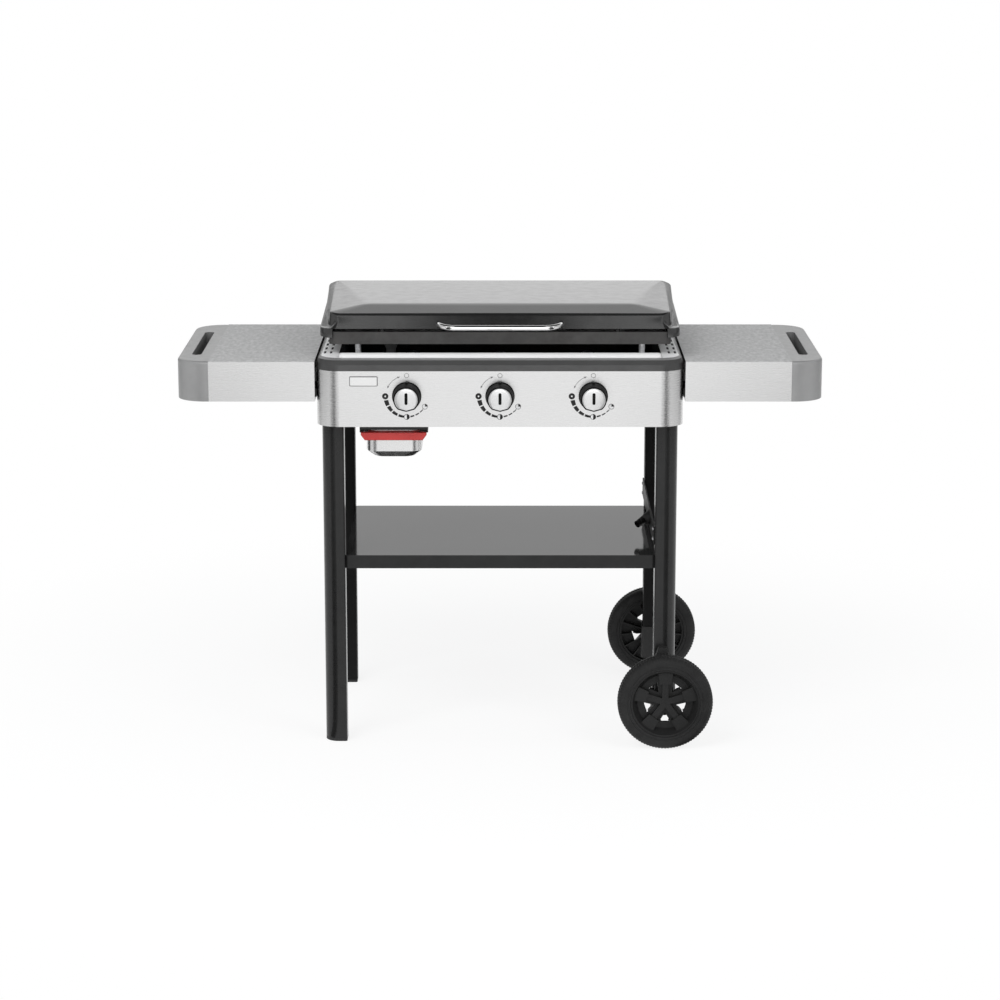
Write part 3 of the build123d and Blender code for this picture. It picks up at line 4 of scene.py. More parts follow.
import bmesh
import bpy
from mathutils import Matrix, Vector


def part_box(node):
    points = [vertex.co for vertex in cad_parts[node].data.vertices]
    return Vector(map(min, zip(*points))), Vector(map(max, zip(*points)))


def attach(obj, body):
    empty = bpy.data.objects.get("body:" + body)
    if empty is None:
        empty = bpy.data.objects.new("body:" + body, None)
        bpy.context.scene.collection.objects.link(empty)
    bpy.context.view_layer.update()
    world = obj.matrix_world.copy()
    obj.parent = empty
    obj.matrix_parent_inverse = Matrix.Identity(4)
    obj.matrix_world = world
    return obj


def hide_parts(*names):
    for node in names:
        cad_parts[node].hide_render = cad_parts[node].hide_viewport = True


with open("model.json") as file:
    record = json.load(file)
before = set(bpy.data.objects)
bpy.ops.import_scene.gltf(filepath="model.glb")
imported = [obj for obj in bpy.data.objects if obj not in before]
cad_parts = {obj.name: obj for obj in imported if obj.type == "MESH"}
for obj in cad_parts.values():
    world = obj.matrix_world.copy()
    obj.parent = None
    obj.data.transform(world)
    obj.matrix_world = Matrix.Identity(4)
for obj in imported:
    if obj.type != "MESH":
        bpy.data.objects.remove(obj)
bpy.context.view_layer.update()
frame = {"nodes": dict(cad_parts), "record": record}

# Dressed model of a gas griddle on a cart. Lengths in the code below are millimetres unless
# a comment says otherwise; every mesh is written in the row frame and scaled by MM.
MM = 0.001
SIDES = ("left", "centre", "right")


# ---------------------------------------------------------------- materials
class Finish:
    """A node material with one Principled shader; the methods add nodes and return sockets."""

    def __init__(self, name, **constants):
        self.material = bpy.data.materials.new(name)
        self.material.use_nodes = True
        self.tree = self.material.node_tree
        self.tree.nodes.clear()
        self.shader = self.node("ShaderNodeBsdfPrincipled")
        out = self.node("ShaderNodeOutputMaterial")
        self.tree.links.new(self.shader.outputs["BSDF"], out.inputs["Surface"])
        self.place = self.node("ShaderNodeTexCoord").outputs["Object"]
        for key, value in constants.items():
            self.shader.inputs[SOCKETS[key]].default_value = value

    def node(self, kind, inputs=None, **settings):
        made = self.tree.nodes.new(kind)
        for key, value in settings.items():
            setattr(made, key, value)
        for key, value in (inputs or {}).items():
            if isinstance(value, bpy.types.NodeSocket):
                self.tree.links.new(value, made.inputs[key])
            else:
                made.inputs[key].default_value = value
        return made

    def scaled(self, scale):
        """Row-frame position times a scale per axis, so features have a size in metres."""
        return self.node("ShaderNodeMapping", {"Vector": self.place, "Scale": scale}).outputs[0]

    def along_sheet(self, along, across):
        """Coordinates for grain that runs level round a bent upright sheet."""
        xyz = self.node("ShaderNodeSeparateXYZ", {"Vector": self.place})
        run = self.math("ADD", xyz.outputs[0], xyz.outputs[1])
        turn = self.math("SUBTRACT", xyz.outputs[0], xyz.outputs[1])
        return self.node("ShaderNodeCombineXYZ", {
            "X": self.math("MULTIPLY", run, along), "Y": self.math("MULTIPLY", turn, along),
            "Z": self.math("MULTIPLY", xyz.outputs[2], across)}).outputs[0]

    def math(self, operation, a, b):
        """Result of one arithmetic step on sockets or numbers."""
        return self.node("ShaderNodeMath", {0: a, 1: b}, operation=operation).outputs[0]

    def noise(self, scale, detail=2.0, rough=0.5):
        """Noise; scale is one number, a triple or ready coordinates."""
        if isinstance(scale, bpy.types.NodeSocket):
            vector = scale
        else:
            vector = self.scaled(scale if isinstance(scale, tuple) else (scale,) * 3)
        return self.node("ShaderNodeTexNoise", {
            "Vector": vector, "Scale": 1.0, "Detail": detail, "Roughness": rough}).outputs[0]

    def cells(self, scale, smooth=0.6):
        """Rounded cells, high in the middle of each."""
        return self.node("ShaderNodeTexVoronoi", {
            "Vector": self.scaled((scale,) * 3), "Scale": 1.0, "Smoothness": smooth},
            feature="SMOOTH_F1").outputs["Distance"]

    def ramp(self, factor, *stops):
        """Colour ramp; each stop is (position, grey) or (position, (r, g, b))."""
        made = self.node("ShaderNodeValToRGB", {"Fac": factor})
        bar = made.color_ramp
        while len(bar.elements) < len(stops):
            bar.elements.new(0.5)
        for element, (position, colour) in zip(bar.elements, stops):
            rgb = colour if isinstance(colour, tuple) else (colour,) * 3
            element.position, element.color = position, (*rgb, 1.0)
        return made.outputs["Color"]

    def span(self, factor, low, high, start=0.3, end=0.7):
        """Factor between start and end, stretched to low and high."""
        return self.node("ShaderNodeMapRange", {
            "Value": factor, "From Min": start, "From Max": end,
            "To Min": low, "To Max": high}).outputs[0]

    def mix(self, factor, a, b, blend="MIX"):
        """Two colours mixed by a factor."""
        return self.node("ShaderNodeMix", {0: factor, 6: a, 7: b}, data_type="RGBA",
                         blend_type=blend).outputs[2]

    def bump(self, height, distance, strength=1.0, under=None):
        """Relief of the given depth in metres, on top of an earlier relief."""
        inputs = {"Height": height, "Distance": distance, "Strength": strength}
        if under is not None:
            inputs["Normal"] = under
        return self.node("ShaderNodeBump", inputs).outputs[0]

    def put(self, **sockets):
        """Links sockets to the shader's inputs."""
        for key, value in sockets.items():
            self.tree.links.new(value, self.shader.inputs[SOCKETS[key]])
        return self


SOCKETS = {"colour": "Base Color", "metal": "Metallic", "rough": "Roughness", "ior": "IOR",
           "specular": "Specular IOR Level", "coat": "Coat Weight", "coat_rough": "Coat Roughness",
           "normal": "Normal", "aniso": "Anisotropic"}


def coated(name, dark, light, rough, grain, specular=0.5, depth=0.00006, metal=0.0, ior=1.5):
    """Painted or moulded surface: faint colour drift, uneven gloss and a fine grain."""
    f = Finish(name, specular=specular, metal=metal, ior=ior)
    drift = f.noise(23.0, 4.0, 0.6)
    fine = f.noise(grain, 2.0, 0.6)
    coarse = f.noise(grain / 5.0, 2.0)
    return f.put(colour=f.ramp(drift, (0.3, dark), (0.72, light)),
                 rough=f.span(f.noise(70.0, 3.0), *rough),
                 normal=f.bump(fine, depth, 0.6, f.bump(coarse, depth * 2.0, 0.35)))


def brushed(name, colour, rough, coords, depth=0.00002, metal=1.0):
    """Brushed metal; coords(f) gives the stretched coordinates of its grain."""
    f = Finish(name, metal=metal)
    grain = f.noise(coords(f), 3.0, 0.7)
    drift = f.noise(9.0, 3.0)
    light = f.ramp(grain, (0.25, colour * 0.97), (0.75, colour * 1.03))
    shade = f.ramp(drift, (0.3, 0.98), (0.7, 1.0))
    return f.put(colour=f.mix(1.0, light, shade, "MULTIPLY"), rough=f.span(grain, *rough),
                 normal=f.bump(grain, depth, 0.5))


def make_materials():
    """All finishes by the key that nodes and pieces use; roughness is a (low, high) pair."""
    m = {}
    m["black_frame"] = coated("powder_black", 0.009, 0.013, (0.20, 0.27), 1500.0,
                              specular=0.36, depth=0.000012)
    # Painted shade: a darker, duller copy of the frame black for the rear legs and the bottle
    # hanger, which stand in shade
    m["painted_shade_black"] = coated("rear_leg_painted_shade", 0.004, 0.006, (0.40, 0.50), 1500.0,
                               specular=0.14, depth=0.00002)
    m["shelf_black"] = coated("shelf_black", 0.020, 0.025, (0.06, 0.10), 1500.0,
                              specular=0.09, depth=0.000003)
    m["black_plastic"] = coated("moulded_black", 0.012, 0.018, (0.46, 0.58), 2200.0, specular=0.36)
    m["grey_plastic"] = coated("moulded_grey", 0.26, 0.29, (0.33, 0.41), 2000.0, metal=0.4)
    m["wheel_rim"] = coated("rim_black", 0.010, 0.014, (0.44, 0.56), 1800.0, specular=0.28)
    m["tyre"] = coated("tyre_black", 0.010, 0.016, (0.58, 0.72), 1200.0,
                       specular=0.32, depth=0.0001)
    # Painted shade: dark grey for the sleeves that darken the insides of the slots
    m["slot_painted_shade"] = coated("slot_painted_shade", 0.11, 0.13, (0.5, 0.6), 2000.0, specular=0.3)
    m["rubber"] = coated("bumper_rubber", 0.015, 0.022, (0.65, 0.8), 1600.0, specular=0.3)
    m["firebox_black"] = coated("heat_black", 0.008, 0.016, (0.6, 0.8), 900.0, specular=0.25)
    m["knob_black"] = coated("knob_black", 0.007, 0.010, (0.40, 0.50), 1700.0,
                             depth=0.00003, ior=1.06)
    m["ceramic"] = coated("electrode_ceramic", 0.66, 0.74, (0.3, 0.45), 1500.0)
    m["tray_red"] = coated("tray_red", (0.36, 0.022, 0.02), (0.42, 0.03, 0.027), (0.3, 0.42),
                           1500.0)
    m["stainless"] = brushed("brushed_stainless", 0.79, (0.24, 0.30),
                             lambda f: f.along_sheet(10.0, 2600.0), depth=0.000006)
    m["bright_steel"] = brushed("deck_steel", 0.64, (0.4, 0.5),
                                lambda f: f.scaled((14.0, 900.0, 900.0)), metal=0.15)
    m["vent_steel"] = brushed("vent_steel", 0.86, (0.4, 0.5),
                              lambda f: f.scaled((900.0, 14.0, 900.0)), metal=0.15)
    m["foil"] = brushed("pan_aluminium", 0.80, (0.22, 0.34),
                        lambda f: f.along_sheet(260.0, 900.0))
    m["knob_silver"] = brushed("knob_silver", 0.74, (0.26, 0.34),
                               lambda f: f.scaled((1500.0, 1500.0, 60.0)), metal=0.82)

    # Plated and cast metals
    f = Finish("zinc_plate", metal=1.0)
    spangle = f.cells(260.0)
    f.put(colour=f.ramp(spangle, (0.1, (0.5, 0.51, 0.53)), (0.6, (0.66, 0.66, 0.67))),
          rough=f.span(f.noise(180.0, 3.0), 0.28, 0.46),
          normal=f.bump(f.noise(900.0), 0.00004, 0.5))
    m["zinc_steel"] = f
    f = Finish("valve_brass", metal=1.0)
    f.put(colour=f.ramp(f.noise(140.0, 4.0), (0.3, (0.5, 0.35, 0.13)), (0.7, (0.68, 0.5, 0.22))),
          rough=f.span(f.noise(300.0), 0.25, 0.42), normal=f.bump(f.noise(1200.0), 0.00004, 0.5))
    m["brass"] = f

    # Rolled bezel: dark satin metal with a painted highlight, lighter grey where it turns to face
    # up
    f = Finish("bezel_grey_painted_highlight", metal=0.4)
    facing = f.node("ShaderNodeSeparateXYZ", {
        "Vector": f.node("ShaderNodeNewGeometry").outputs["Normal"]}).outputs[2]
    drift = f.ramp(f.noise(23.0, 4.0, 0.6), (0.3, 0.050), (0.72, 0.058))
    # Painted highlight: the colour blends from the dark grey to light grey as the normal turns
    # upwards
    f.put(colour=f.mix(f.span(facing, 0.0, 1.0, 0.78, 1.0), drift, (0.34, 0.34, 0.34, 1.0)),
          rough=f.span(f.noise(70.0, 3.0), 0.36, 0.44),
          normal=f.bump(f.noise(1700.0, 2.0, 0.6), 0.00004, 0.6))
    m["dark_bezel"] = f

    # Gloss enamel: a smooth dark coat with faint orange peel
    f = Finish("lid_enamel", ior=1.78)
    f.put(colour=f.ramp(f.noise(14.0, 4.0), (0.3, 0.010), (0.7, 0.014)),
          rough=f.span(f.noise(45.0, 3.0), 0.13, 0.19),
          normal=f.bump(f.noise(330.0), 0.00002, 0.1))
    m["lid_enamel"] = f

    # Seasoned steel: mottled, oily in places
    f = Finish("seasoned_steel", metal=0.35, specular=0.5)
    blotch = f.noise(30.0, 5.0, 0.65)
    f.put(colour=f.ramp(blotch, (0.28, (0.034, 0.032, 0.031)), (0.55, (0.05, 0.049, 0.048)),
                        (0.8, (0.066, 0.063, 0.06))),
          rough=f.span(blotch, 0.3, 0.5),
          normal=f.bump(f.noise(800.0, 3.0), 0.00006, 0.5))
    m["griddle_steel"] = f

    f = Finish("polished_chrome", metal=1.0)
    smear = f.noise(90.0, 4.0, 0.6)
    f.put(colour=f.ramp(smear, (0.3, 0.86), (0.7, 0.92)), rough=f.span(smear, 0.05, 0.1))
    m["chrome"] = f

    # Table tops: grey coat with soft flat pebbles
    f = Finish("pebbled_grey", specular=0.45)
    mottle = f.noise((120.0, 52.0, 120.0), 3.0, 0.6)
    pebble = f.cells(150.0, 0.35)
    relief = f.math("ADD", f.math("MULTIPLY", pebble, -1.0), f.math("MULTIPLY", mottle, 1.4))
    f.put(colour=f.ramp(mottle, (0.32, 0.25), (0.5, 0.345), (0.68, 0.44)),
          rough=f.span(mottle, 0.42, 0.56),
          normal=f.bump(relief, 0.0005, 0.4, f.bump(f.noise(1400.0), 0.00005, 0.4)))
    m["table_grey"] = f

    # Printed dial and the bare plate
    m["ink_dark"] = coated("ink_dark", 0.012, 0.017, (0.45, 0.6), 2500.0, specular=0.3)
    m["ink_grey"] = coated("ink_grey", 0.16, 0.19, (0.45, 0.6), 2500.0, specular=0.3)
    m["ink_white"] = coated("ink_white", 0.72, 0.78, (0.4, 0.55), 2500.0, specular=0.4)
    m["plate_border"] = coated("plate_border", 0.10, 0.13, (0.35, 0.45), 2200.0)
    m["plate_steel"] = brushed("plate_steel", 0.86, (0.2, 0.28),
                               lambda f: f.along_sheet(20.0, 3000.0))
    return {key: finish.material for key, finish in m.items()}


MATERIALS = make_materials()
# Nodes that look different from the rest of their slot; the grease chute, rear legs and bottle
# hanger get darker finishes as painted shade
NODE_FINISH = {"left_side_vent": "vent_steel", "right_side_vent": "vent_steel",
               "grease_chute": "firebox_black", "left_rear_leg": "painted_shade_black",
               "right_rear_leg": "painted_shade_black", "tank_hanger": "painted_shade_black",
               "shelf": "shelf_black"}
for part in frame["record"]["subparts"]:
    finish = NODE_FINISH.get(part["node"], part["material_slot"])
    node = frame["nodes"][part["node"]]
    for slot in node.material_slots:
        slot.material = MATERIALS[finish]


# ---------------------------------------------------------------- mesh pieces
class Shape:
    """Vertices and faces of one piece, in millimetres; each face has a material number."""

    def __init__(self):
        self.verts, self.faces, self.paint = [], [], []
        self.colour = 0

    def face(self, corners):
        self.faces.append(tuple(corners))
        self.paint.append(self.colour)

    def rings(self, rings, closed=True, caps=True, loop=False):
        """Skin over rings of equal length; loop joins the last ring to the first."""
        base, count = len(self.verts), len(rings[0])
        for ring in rings:
            self.verts.extend(tuple(p) for p in ring)
        turns = len(rings) if loop else len(rings) - 1
        for i in range(turns):
            a, b = base + i * count, base + (i + 1) % len(rings) * count
            for j in range(count if closed else count - 1):
                k = (j + 1) % count
                self.face((a + j, a + k, b + k, b + j))
        if caps and not loop:
            self.face(range(base + count - 1, base - 1, -1))
            last = base + (len(rings) - 1) * count
            self.face(range(last, last + count))

    def slab(self, outline, y_back, y_front):
        """Flat shape seen from the front, given as (x, z) points."""
        self.rings([[(x, y_back, z) for x, z in outline], [(x, y_front, z) for x, z in outline]])

    def lathe(self, profile, centre, axis, steps=32, hexagon=()):
        """Turns (radius, height) pairs about an axis; rings listed in hexagon become six-sided."""
        axis = Vector(axis).normalized()
        side = axis.orthogonal().normalized()
        up = axis.cross(side)
        rings = []
        for i, (radius, height) in enumerate(profile):
            ring = []
            for k in range(steps):
                a = 2 * math.pi * k / steps
                r = radius
                if i in hexagon:
                    r = radius * math.cos(math.pi / 6) / math.cos(a % (math.pi / 3) - math.pi / 6)
                out = (side * math.cos(a) + up * math.sin(a)) * r
                ring.append(Vector(centre) + axis * height + out)
            rings.append(ring)
        self.rings(rings)

    def build(self, name, body, materials, smooth=35.0):
        """Makes the object and hangs it on its body."""
        mesh = bpy.data.meshes.new(name)
        mesh.from_pydata([[c * MM for c in v] for v in self.verts], [], self.faces)
        for material in materials:
            mesh.materials.append(MATERIALS[material])
        mesh.polygons.foreach_set("material_index", self.paint)
        work = bmesh.new()
        work.from_mesh(mesh)
        bmesh.ops.recalc_face_normals(work, faces=work.faces)
        work.to_mesh(mesh)
        work.free()
        mesh.shade_smooth()
        mesh.set_sharp_from_angle(angle=math.radians(smooth))
        made = bpy.data.objects.new(name, mesh)
        bpy.context.scene.collection.objects.link(made)
        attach(made, body)
        return made


def box_mm(node):
    """Lowest and highest corner of a node at rest."""
    low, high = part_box(node)
    return [c / MM for c in low], [c / MM for c in high]


def middle(node):
    """Centre of a node's box."""
    low, high = box_mm(node)
    return [(a + b) / 2 for a, b in zip(low, high)]


FASCIA_Y = box_mm("front_fascia")[0][1]
INK_T = 0.12    # thickness of one layer of print
DIAL_R = 44.3


def polar(centre, radius, degrees):
    """Point on a dial; degrees count counter-clockwise from 12 o'clock, seen from the front."""
    a = math.radians(degrees)
    return centre[0] - radius * math.sin(a), centre[1] + radius * math.cos(a)


def band_section(a, b, layer):
    """Section of a printed band between two (x, z) points, as high as its layers of ink."""
    top = FASCIA_Y - INK_T * layer
    return [(a[0], FASCIA_Y, a[1]), (b[0], FASCIA_Y, b[1]), (b[0], top, b[1]), (a[0], top, a[1])]


def arc_band(shape, centre, radius, start, end, width, end_width, layer=1):
    """Printed band along the dial circle, tapering from width to end_width."""
    steps = max(3, int(abs(end - start) / 3))
    rings = []
    for i in range(steps + 1):
        t = i / steps
        half = (width + (end_width - width) * t) / 2
        turn = start + (end - start) * t
        rings.append(band_section(polar(centre, radius - half, turn),
                                  polar(centre, radius + half, turn), layer))
    shape.rings(rings)


def spot(shape, centre, radius, start=0.0, end=360.0, layer=1):
    """Printed disc, or the part of it between two angles."""
    whole = end - start >= 360.0
    count = 36 if whole else 19
    points = [polar(centre, radius, start + (end - start) * i / (count if whole else count - 1))
              for i in range(count)]
    if end - start < 180.0:
        points.append(centre)
    shape.slab(points, FASCIA_Y, FASCIA_Y - INK_T * layer)


def circle_line(shape, centre, radius, width, layer=1):
    """Printed ring."""
    count = 40
    shape.rings([band_section(polar(centre, radius - width / 2, i * 360.0 / count),
                              polar(centre, radius + width / 2, i * 360.0 / count), layer)
                 for i in range(count)], loop=True)


def dial(side):
    """Printed marks round a knob: off at the top, then high, medium and low."""
    knob = middle(side + "_knob_cap")
    centre = (knob[0], middle("knob_bezels")[2])
    dark, grey, white = 0, 1, 2
    off_r, line, arrow_half = 4.6, 1.1, 2.3
    hot_r, hot_width, hot_core = 4.2, 5.0, 1.7
    mark_r, fill_r = 5.6, 5.4
    shape = Shape()
    shape.colour = grey
    circle_line(shape, polar(centre, DIAL_R, 0.0), off_r, line)
    arc_band(shape, centre, DIAL_R, 24.0, 62.0, line, line)
    for tip, base in ((18.0, 25.5), (68.0, 60.5)):
        shape.slab([polar(centre, DIAL_R, tip), polar(centre, DIAL_R + arrow_half, base),
                    polar(centre, DIAL_R - arrow_half, base)], FASCIA_Y, FASCIA_Y - INK_T)
    shape.colour = dark
    hot = polar(centre, DIAL_R + 1.0, 90.0)
    circle_line(shape, hot, hot_r, hot_width)
    widths, first, pitch, length = (9.6, 8.2, 6.8, 5.6, 4.6), 101.0, 18.6, 15.4
    for i, (width, end_width) in enumerate(zip(widths, widths[1:])):
        start = first + pitch * i
        arc_band(shape, centre, DIAL_R, start, start + length, width, end_width)
    widths, first, pitch, length = (3.4, 2.8, 2.2), 190.0, 14.6, 11.0
    for i, width in enumerate(widths):
        start = first + pitch * i
        arc_band(shape, centre, DIAL_R, start, start + length, width, width - 0.5)
    medium, gentle = polar(centre, DIAL_R, 180.0), polar(centre, DIAL_R, 240.0)
    spot(shape, medium, mark_r, 180.0, 360.0, layer=2)
    spot(shape, gentle, fill_r, 270.0, 360.0, layer=2)
    circle_line(shape, medium, mark_r, 1.0, layer=2)
    shape.colour = grey
    circle_line(shape, gentle, mark_r, line, layer=2)
    shape.colour = white
    spot(shape, hot, hot_core)
    spot(shape, medium, fill_r)
    spot(shape, gentle, fill_r)
    shape.build(side + "_dial", "cart", ["ink_dark", "ink_grey", "ink_white"])


def rounded(cx, cz, width, height, radius, steps=6):
    """Rounded rectangle as (x, z) points."""
    points = []
    for qx, qz, start in ((1, 1, 0), (-1, 1, 90), (-1, -1, 180), (1, -1, 270)):
        for i in range(steps + 1):
            a = math.radians(start + 90 * i / steps)
            points.append((cx + qx * (width / 2 - radius) + radius * math.cos(a),
                           cz + qz * (height / 2 - radius) + radius * math.sin(a)))
    return points


def bare_plate():
    """Plain bright plate in a dark border, with nothing on it."""
    centre, width, height, border = (-288.0, 804.0), 60.0, 21.5, 3.0
    shape = Shape()
    for trim, radius, steps in ((0.0, 2.6, ((0.0, 0.0), (0.0, 0.5), (0.8, 0.9))),
                                (border, 1.8, ((0.0, 0.7), (0.0, 1.1), (0.6, 1.4)))):
        shape.colour = 1 if trim else 0
        shape.rings([[(x, FASCIA_Y - rise, z) for x, z in rounded(
            *centre, width - trim - inset, height - trim - inset, radius - inset / 3)]
            for inset, rise in steps])
    shape.build("fascia_plate", "cart", ["plate_border", "plate_steel"])


def knob_face(side):
    """Domed silver face of a knob with its shallow V, and a raised dark pointer bar on it."""
    low, high = box_mm(side + "_knob_cap")
    cx = (low[0] + high[0]) / 2
    cz = middle("knob_bezels")[2]
    full_r = (high[0] - low[0]) / 2
    tip_r = cz - low[2]
    slope = math.tan(math.radians(15.0))
    y_back, y_front = high[1], low[1]
    thick = y_back - y_front
    steps = 96

    def reach(a):
        """Radius of the face at an angle from the top, cut to a shallow V at the bottom."""
        down, across = -math.cos(a), abs(math.sin(a))
        if down <= 0:
            return full_r
        return min(full_r, tip_r / (down + across * slope))

    rings = []
    profile = [(1.0, 0.0), (1.0, 0.34), (0.985, 0.45), (0.94, 0.54)]
    profile += [(s, 0.9 - 0.38 * s ** 2.2) for s in (0.88, 0.78, 0.64, 0.48, 0.3, 0.12)]
    for share, out in profile:
        ring = []
        for k in range(steps):
            a = 2 * math.pi * k / steps
            r = reach(a) * share
            ring.append((cx - r * math.sin(a), y_back - thick * out, cz + r * math.cos(a)))
        rings.append(ring)
    shape = Shape()
    shape.rings(rings)
    made = shape.build(side + "_knob_face", side + "_knob", ["knob_silver"], 50.0)
    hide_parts(side + "_knob_cap")

    bar_w, bar_h, bar_r, bar_up = 6.4, 25.0, 3.1, 2.5
    bar = Shape()
    levels = ((0.0, y_back - 0.5 * thick), (0.0, y_front + 0.25), (0.7, y_front))
    bar.rings([[(x, y, z) for x, z in rounded(cx, cz + bar_up, bar_w - inset, bar_h - inset,
                                              bar_r - inset / 2)] for inset, y in levels])
    bar.build(side + "_knob_pointer", side + "_knob", ["knob_black"])


def tyre(which):
    """Tyre with a moulded bead line, rounded shoulders and fine cross ribs on the tread."""
    node = which + "_wheel_tyre"
    low, high = box_mm(node)
    mid = middle(node)
    wide = (high[1] - low[1]) / 2
    outer = (high[2] - low[2]) / 2
    bore, shoulder, ribs, per_rib, depth = 75.15, 13.0, 96, 4, 0.8
    # One half of the section as (radius, offset from the middle, share of the ribs' depth)
    half = [(bore, wide - 1.0, 0), (76.4, wide - 0.1, 0), (79.6, wide - 0.1, 0),
            (80.4, wide - 0.9, 0), (82.4, wide - 0.9, 0), (83.2, wide - 0.1, 0),
            (86.6, wide - 0.1, 0)]
    for i in range(9):
        a = math.radians(90.0 * i / 8)
        half.append((outer - shoulder + shoulder * math.sin(a),
                     wide - shoulder + shoulder * math.cos(a),
                     min(1.0, max(0.0, (i - 1.5) / 1.5))))
    half += [(outer, 3.4, 1), (outer, 2.6, 0), (outer - 1.6, 2.0, 0)]
    profile = half + [(r, -w, g) for r, w, g in reversed(half)]
    rings = []
    count = ribs * per_rib
    for k in range(count):
        a = 2 * math.pi * k / count
        sunk = depth if k % per_rib in (2, 3) else 0.0
        ring = []
        for r, w, weight in profile:
            turn_in = sunk * weight
            pull = turn_in * (0.5 if abs(w) > wide - shoulder else 0.0)
            rr, ww = r - turn_in, w - math.copysign(pull, w)
            ring.append((mid[0] + rr * math.cos(a), mid[1] + ww, mid[2] + rr * math.sin(a)))
        rings.append(ring)
    shape = Shape()
    shape.rings(rings, loop=True)
    made = shape.build(which + "_tyre", which + "_wheel", ["tyre"], 30.0)
    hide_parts(node)


HANGER_T = 3.0  # sheet of the rail that carries the bottle hook


def screw(shape, centre, axis, radius):
    """Button-head screw with a hexagon socket."""
    r = radius
    shape.lathe([(r, -0.2), (r, 0.12 * r), (0.94 * r, 0.34 * r), (0.76 * r, 0.52 * r),
                 (0.56 * r, 0.58 * r), (0.5 * r, 0.58 * r), (0.46 * r, 0.5 * r),
                 (0.46 * r, 0.22 * r)], centre, axis, 36, hexagon=(5, 6, 7))


def screw_set(name, radius, places):
    """One piece with a screw at each (point, axis)."""
    shape = Shape()
    for centre, axis in places:
        screw(shape, centre, axis, radius)
    shape.build(name, "cart", ["zinc_steel"])


def screws():
    """Small fasteners of the sheet panels."""
    low, high = box_mm("rear_panel")
    screw_set("rear_panel_screws", 4.2, [
        ((x, high[1], z), (0, 1, 0)) for x in (-364.0, -182.0, 0.0, 182.0, 364.0)
        for z in (low[2] + 16.0, high[2] - 18.0)])
    low, high = box_mm("front_fascia")
    screw_set("fascia_side_screws", 4.0, [
        ((high[0] * side, high[1] - 14.0, z), (side, 0, 0)) for side in (-1, 1)
        for z in (low[2] + 24.0, high[2] - 22.0)])
    low, high = box_mm("hinge_brackets")
    screw_set("hinge_foot_screws", 4.0, [
        ((x, high[1] - 7.5, low[2] + 3.0), (0, 0, 1)) for x in (-300.0, 300.0)])
    low, high = box_mm("tank_hanger")
    screw_set("hanger_screws", 4.0, [
        ((high[0] - HANGER_T, y, z), (-1, 0, 0)) for y in (low[1] + 18.0, high[1] - 18.0)
        for z in (449.0, 471.0)])


LID_EDGE_Z, LID_TOP_Z = 908.0, 951.0
BROW_Z, HAUNCH_Z, POST_FOOT_Z = 937.0, 925.0, 910.2     # heights at the front of the lid
LID_SHEET = 1.6
RIM_OUT = 2.5   # the side rims stand this far out from the lid's edge
# Plans of the hood from the roof down: half widths at the front and rear, front and rear y,
# corner radii at the front and rear; y is the design's own, lid_hood moves it to the row frame
FLAT = (271.0, 348.0, -152.0, 154.0, 6.0, 6.0)
ROOF = (287.0, 364.0, -168.0, 175.0, 12.0, 8.0)
BROW = (362.5, 369.5, -221.0, 178.0, 21.0, 10.0)
HAUNCH = (369.0, 384.5, -228.0, 182.0, 28.0, 15.0)
EDGE = (381.0, 387.5, -238.0, 195.0, 38.0, 20.0)


def lid_outline(plan, inset):
    """Points (x, y, nx) round the lid at one level; nx is 1 where the edge faces sideways."""
    front, rear, y0, y1, front_r, rear_r = plan
    front, rear, y0, y1 = front - inset, rear - inset, y0 + inset, y1 - inset
    front_r, rear_r = max(front_r - inset, 1.0), max(rear_r - inset, 1.0)
    arc, run = 10, 9
    corners = ((front - front_r, y0 + front_r, front_r, -90),
               (rear - rear_r, y1 - rear_r, rear_r, 0),
               (rear_r - rear, y1 - rear_r, rear_r, 90),
               (front_r - front, y0 + front_r, front_r, 180))
    points = []
    for i, (cx, cy, r, start) in enumerate(corners):
        for k in range(arc + 1):
            a = math.radians(start + 90 * k / arc)
            points.append((cx + r * math.cos(a), cy + r * math.sin(a), abs(math.cos(a))))
        nx, ny, nr, turn = corners[(i + 1) % 4]
        a = math.radians(turn)
        ahead = (nx + nr * math.cos(a), ny + nr * math.sin(a))
        x, y, facing = points[-1]
        for k in range(1, run):
            t = k / run
            points.append((x + (ahead[0] - x) * t, y + (ahead[1] - y) * t, facing))
    return points


def toward(a, b, length, most):
    """Point on the way from a to b, by a length or a share of the way at most."""
    return a.lerp(b, min(most, length / (b - a).length))


def bent(a, corner, b, steps=7):
    """Rounded bend from a to b round a corner."""
    shares = [i / steps for i in range(steps + 1)]
    return [a.lerp(corner, t).lerp(corner.lerp(b, t), t) for t in shares]


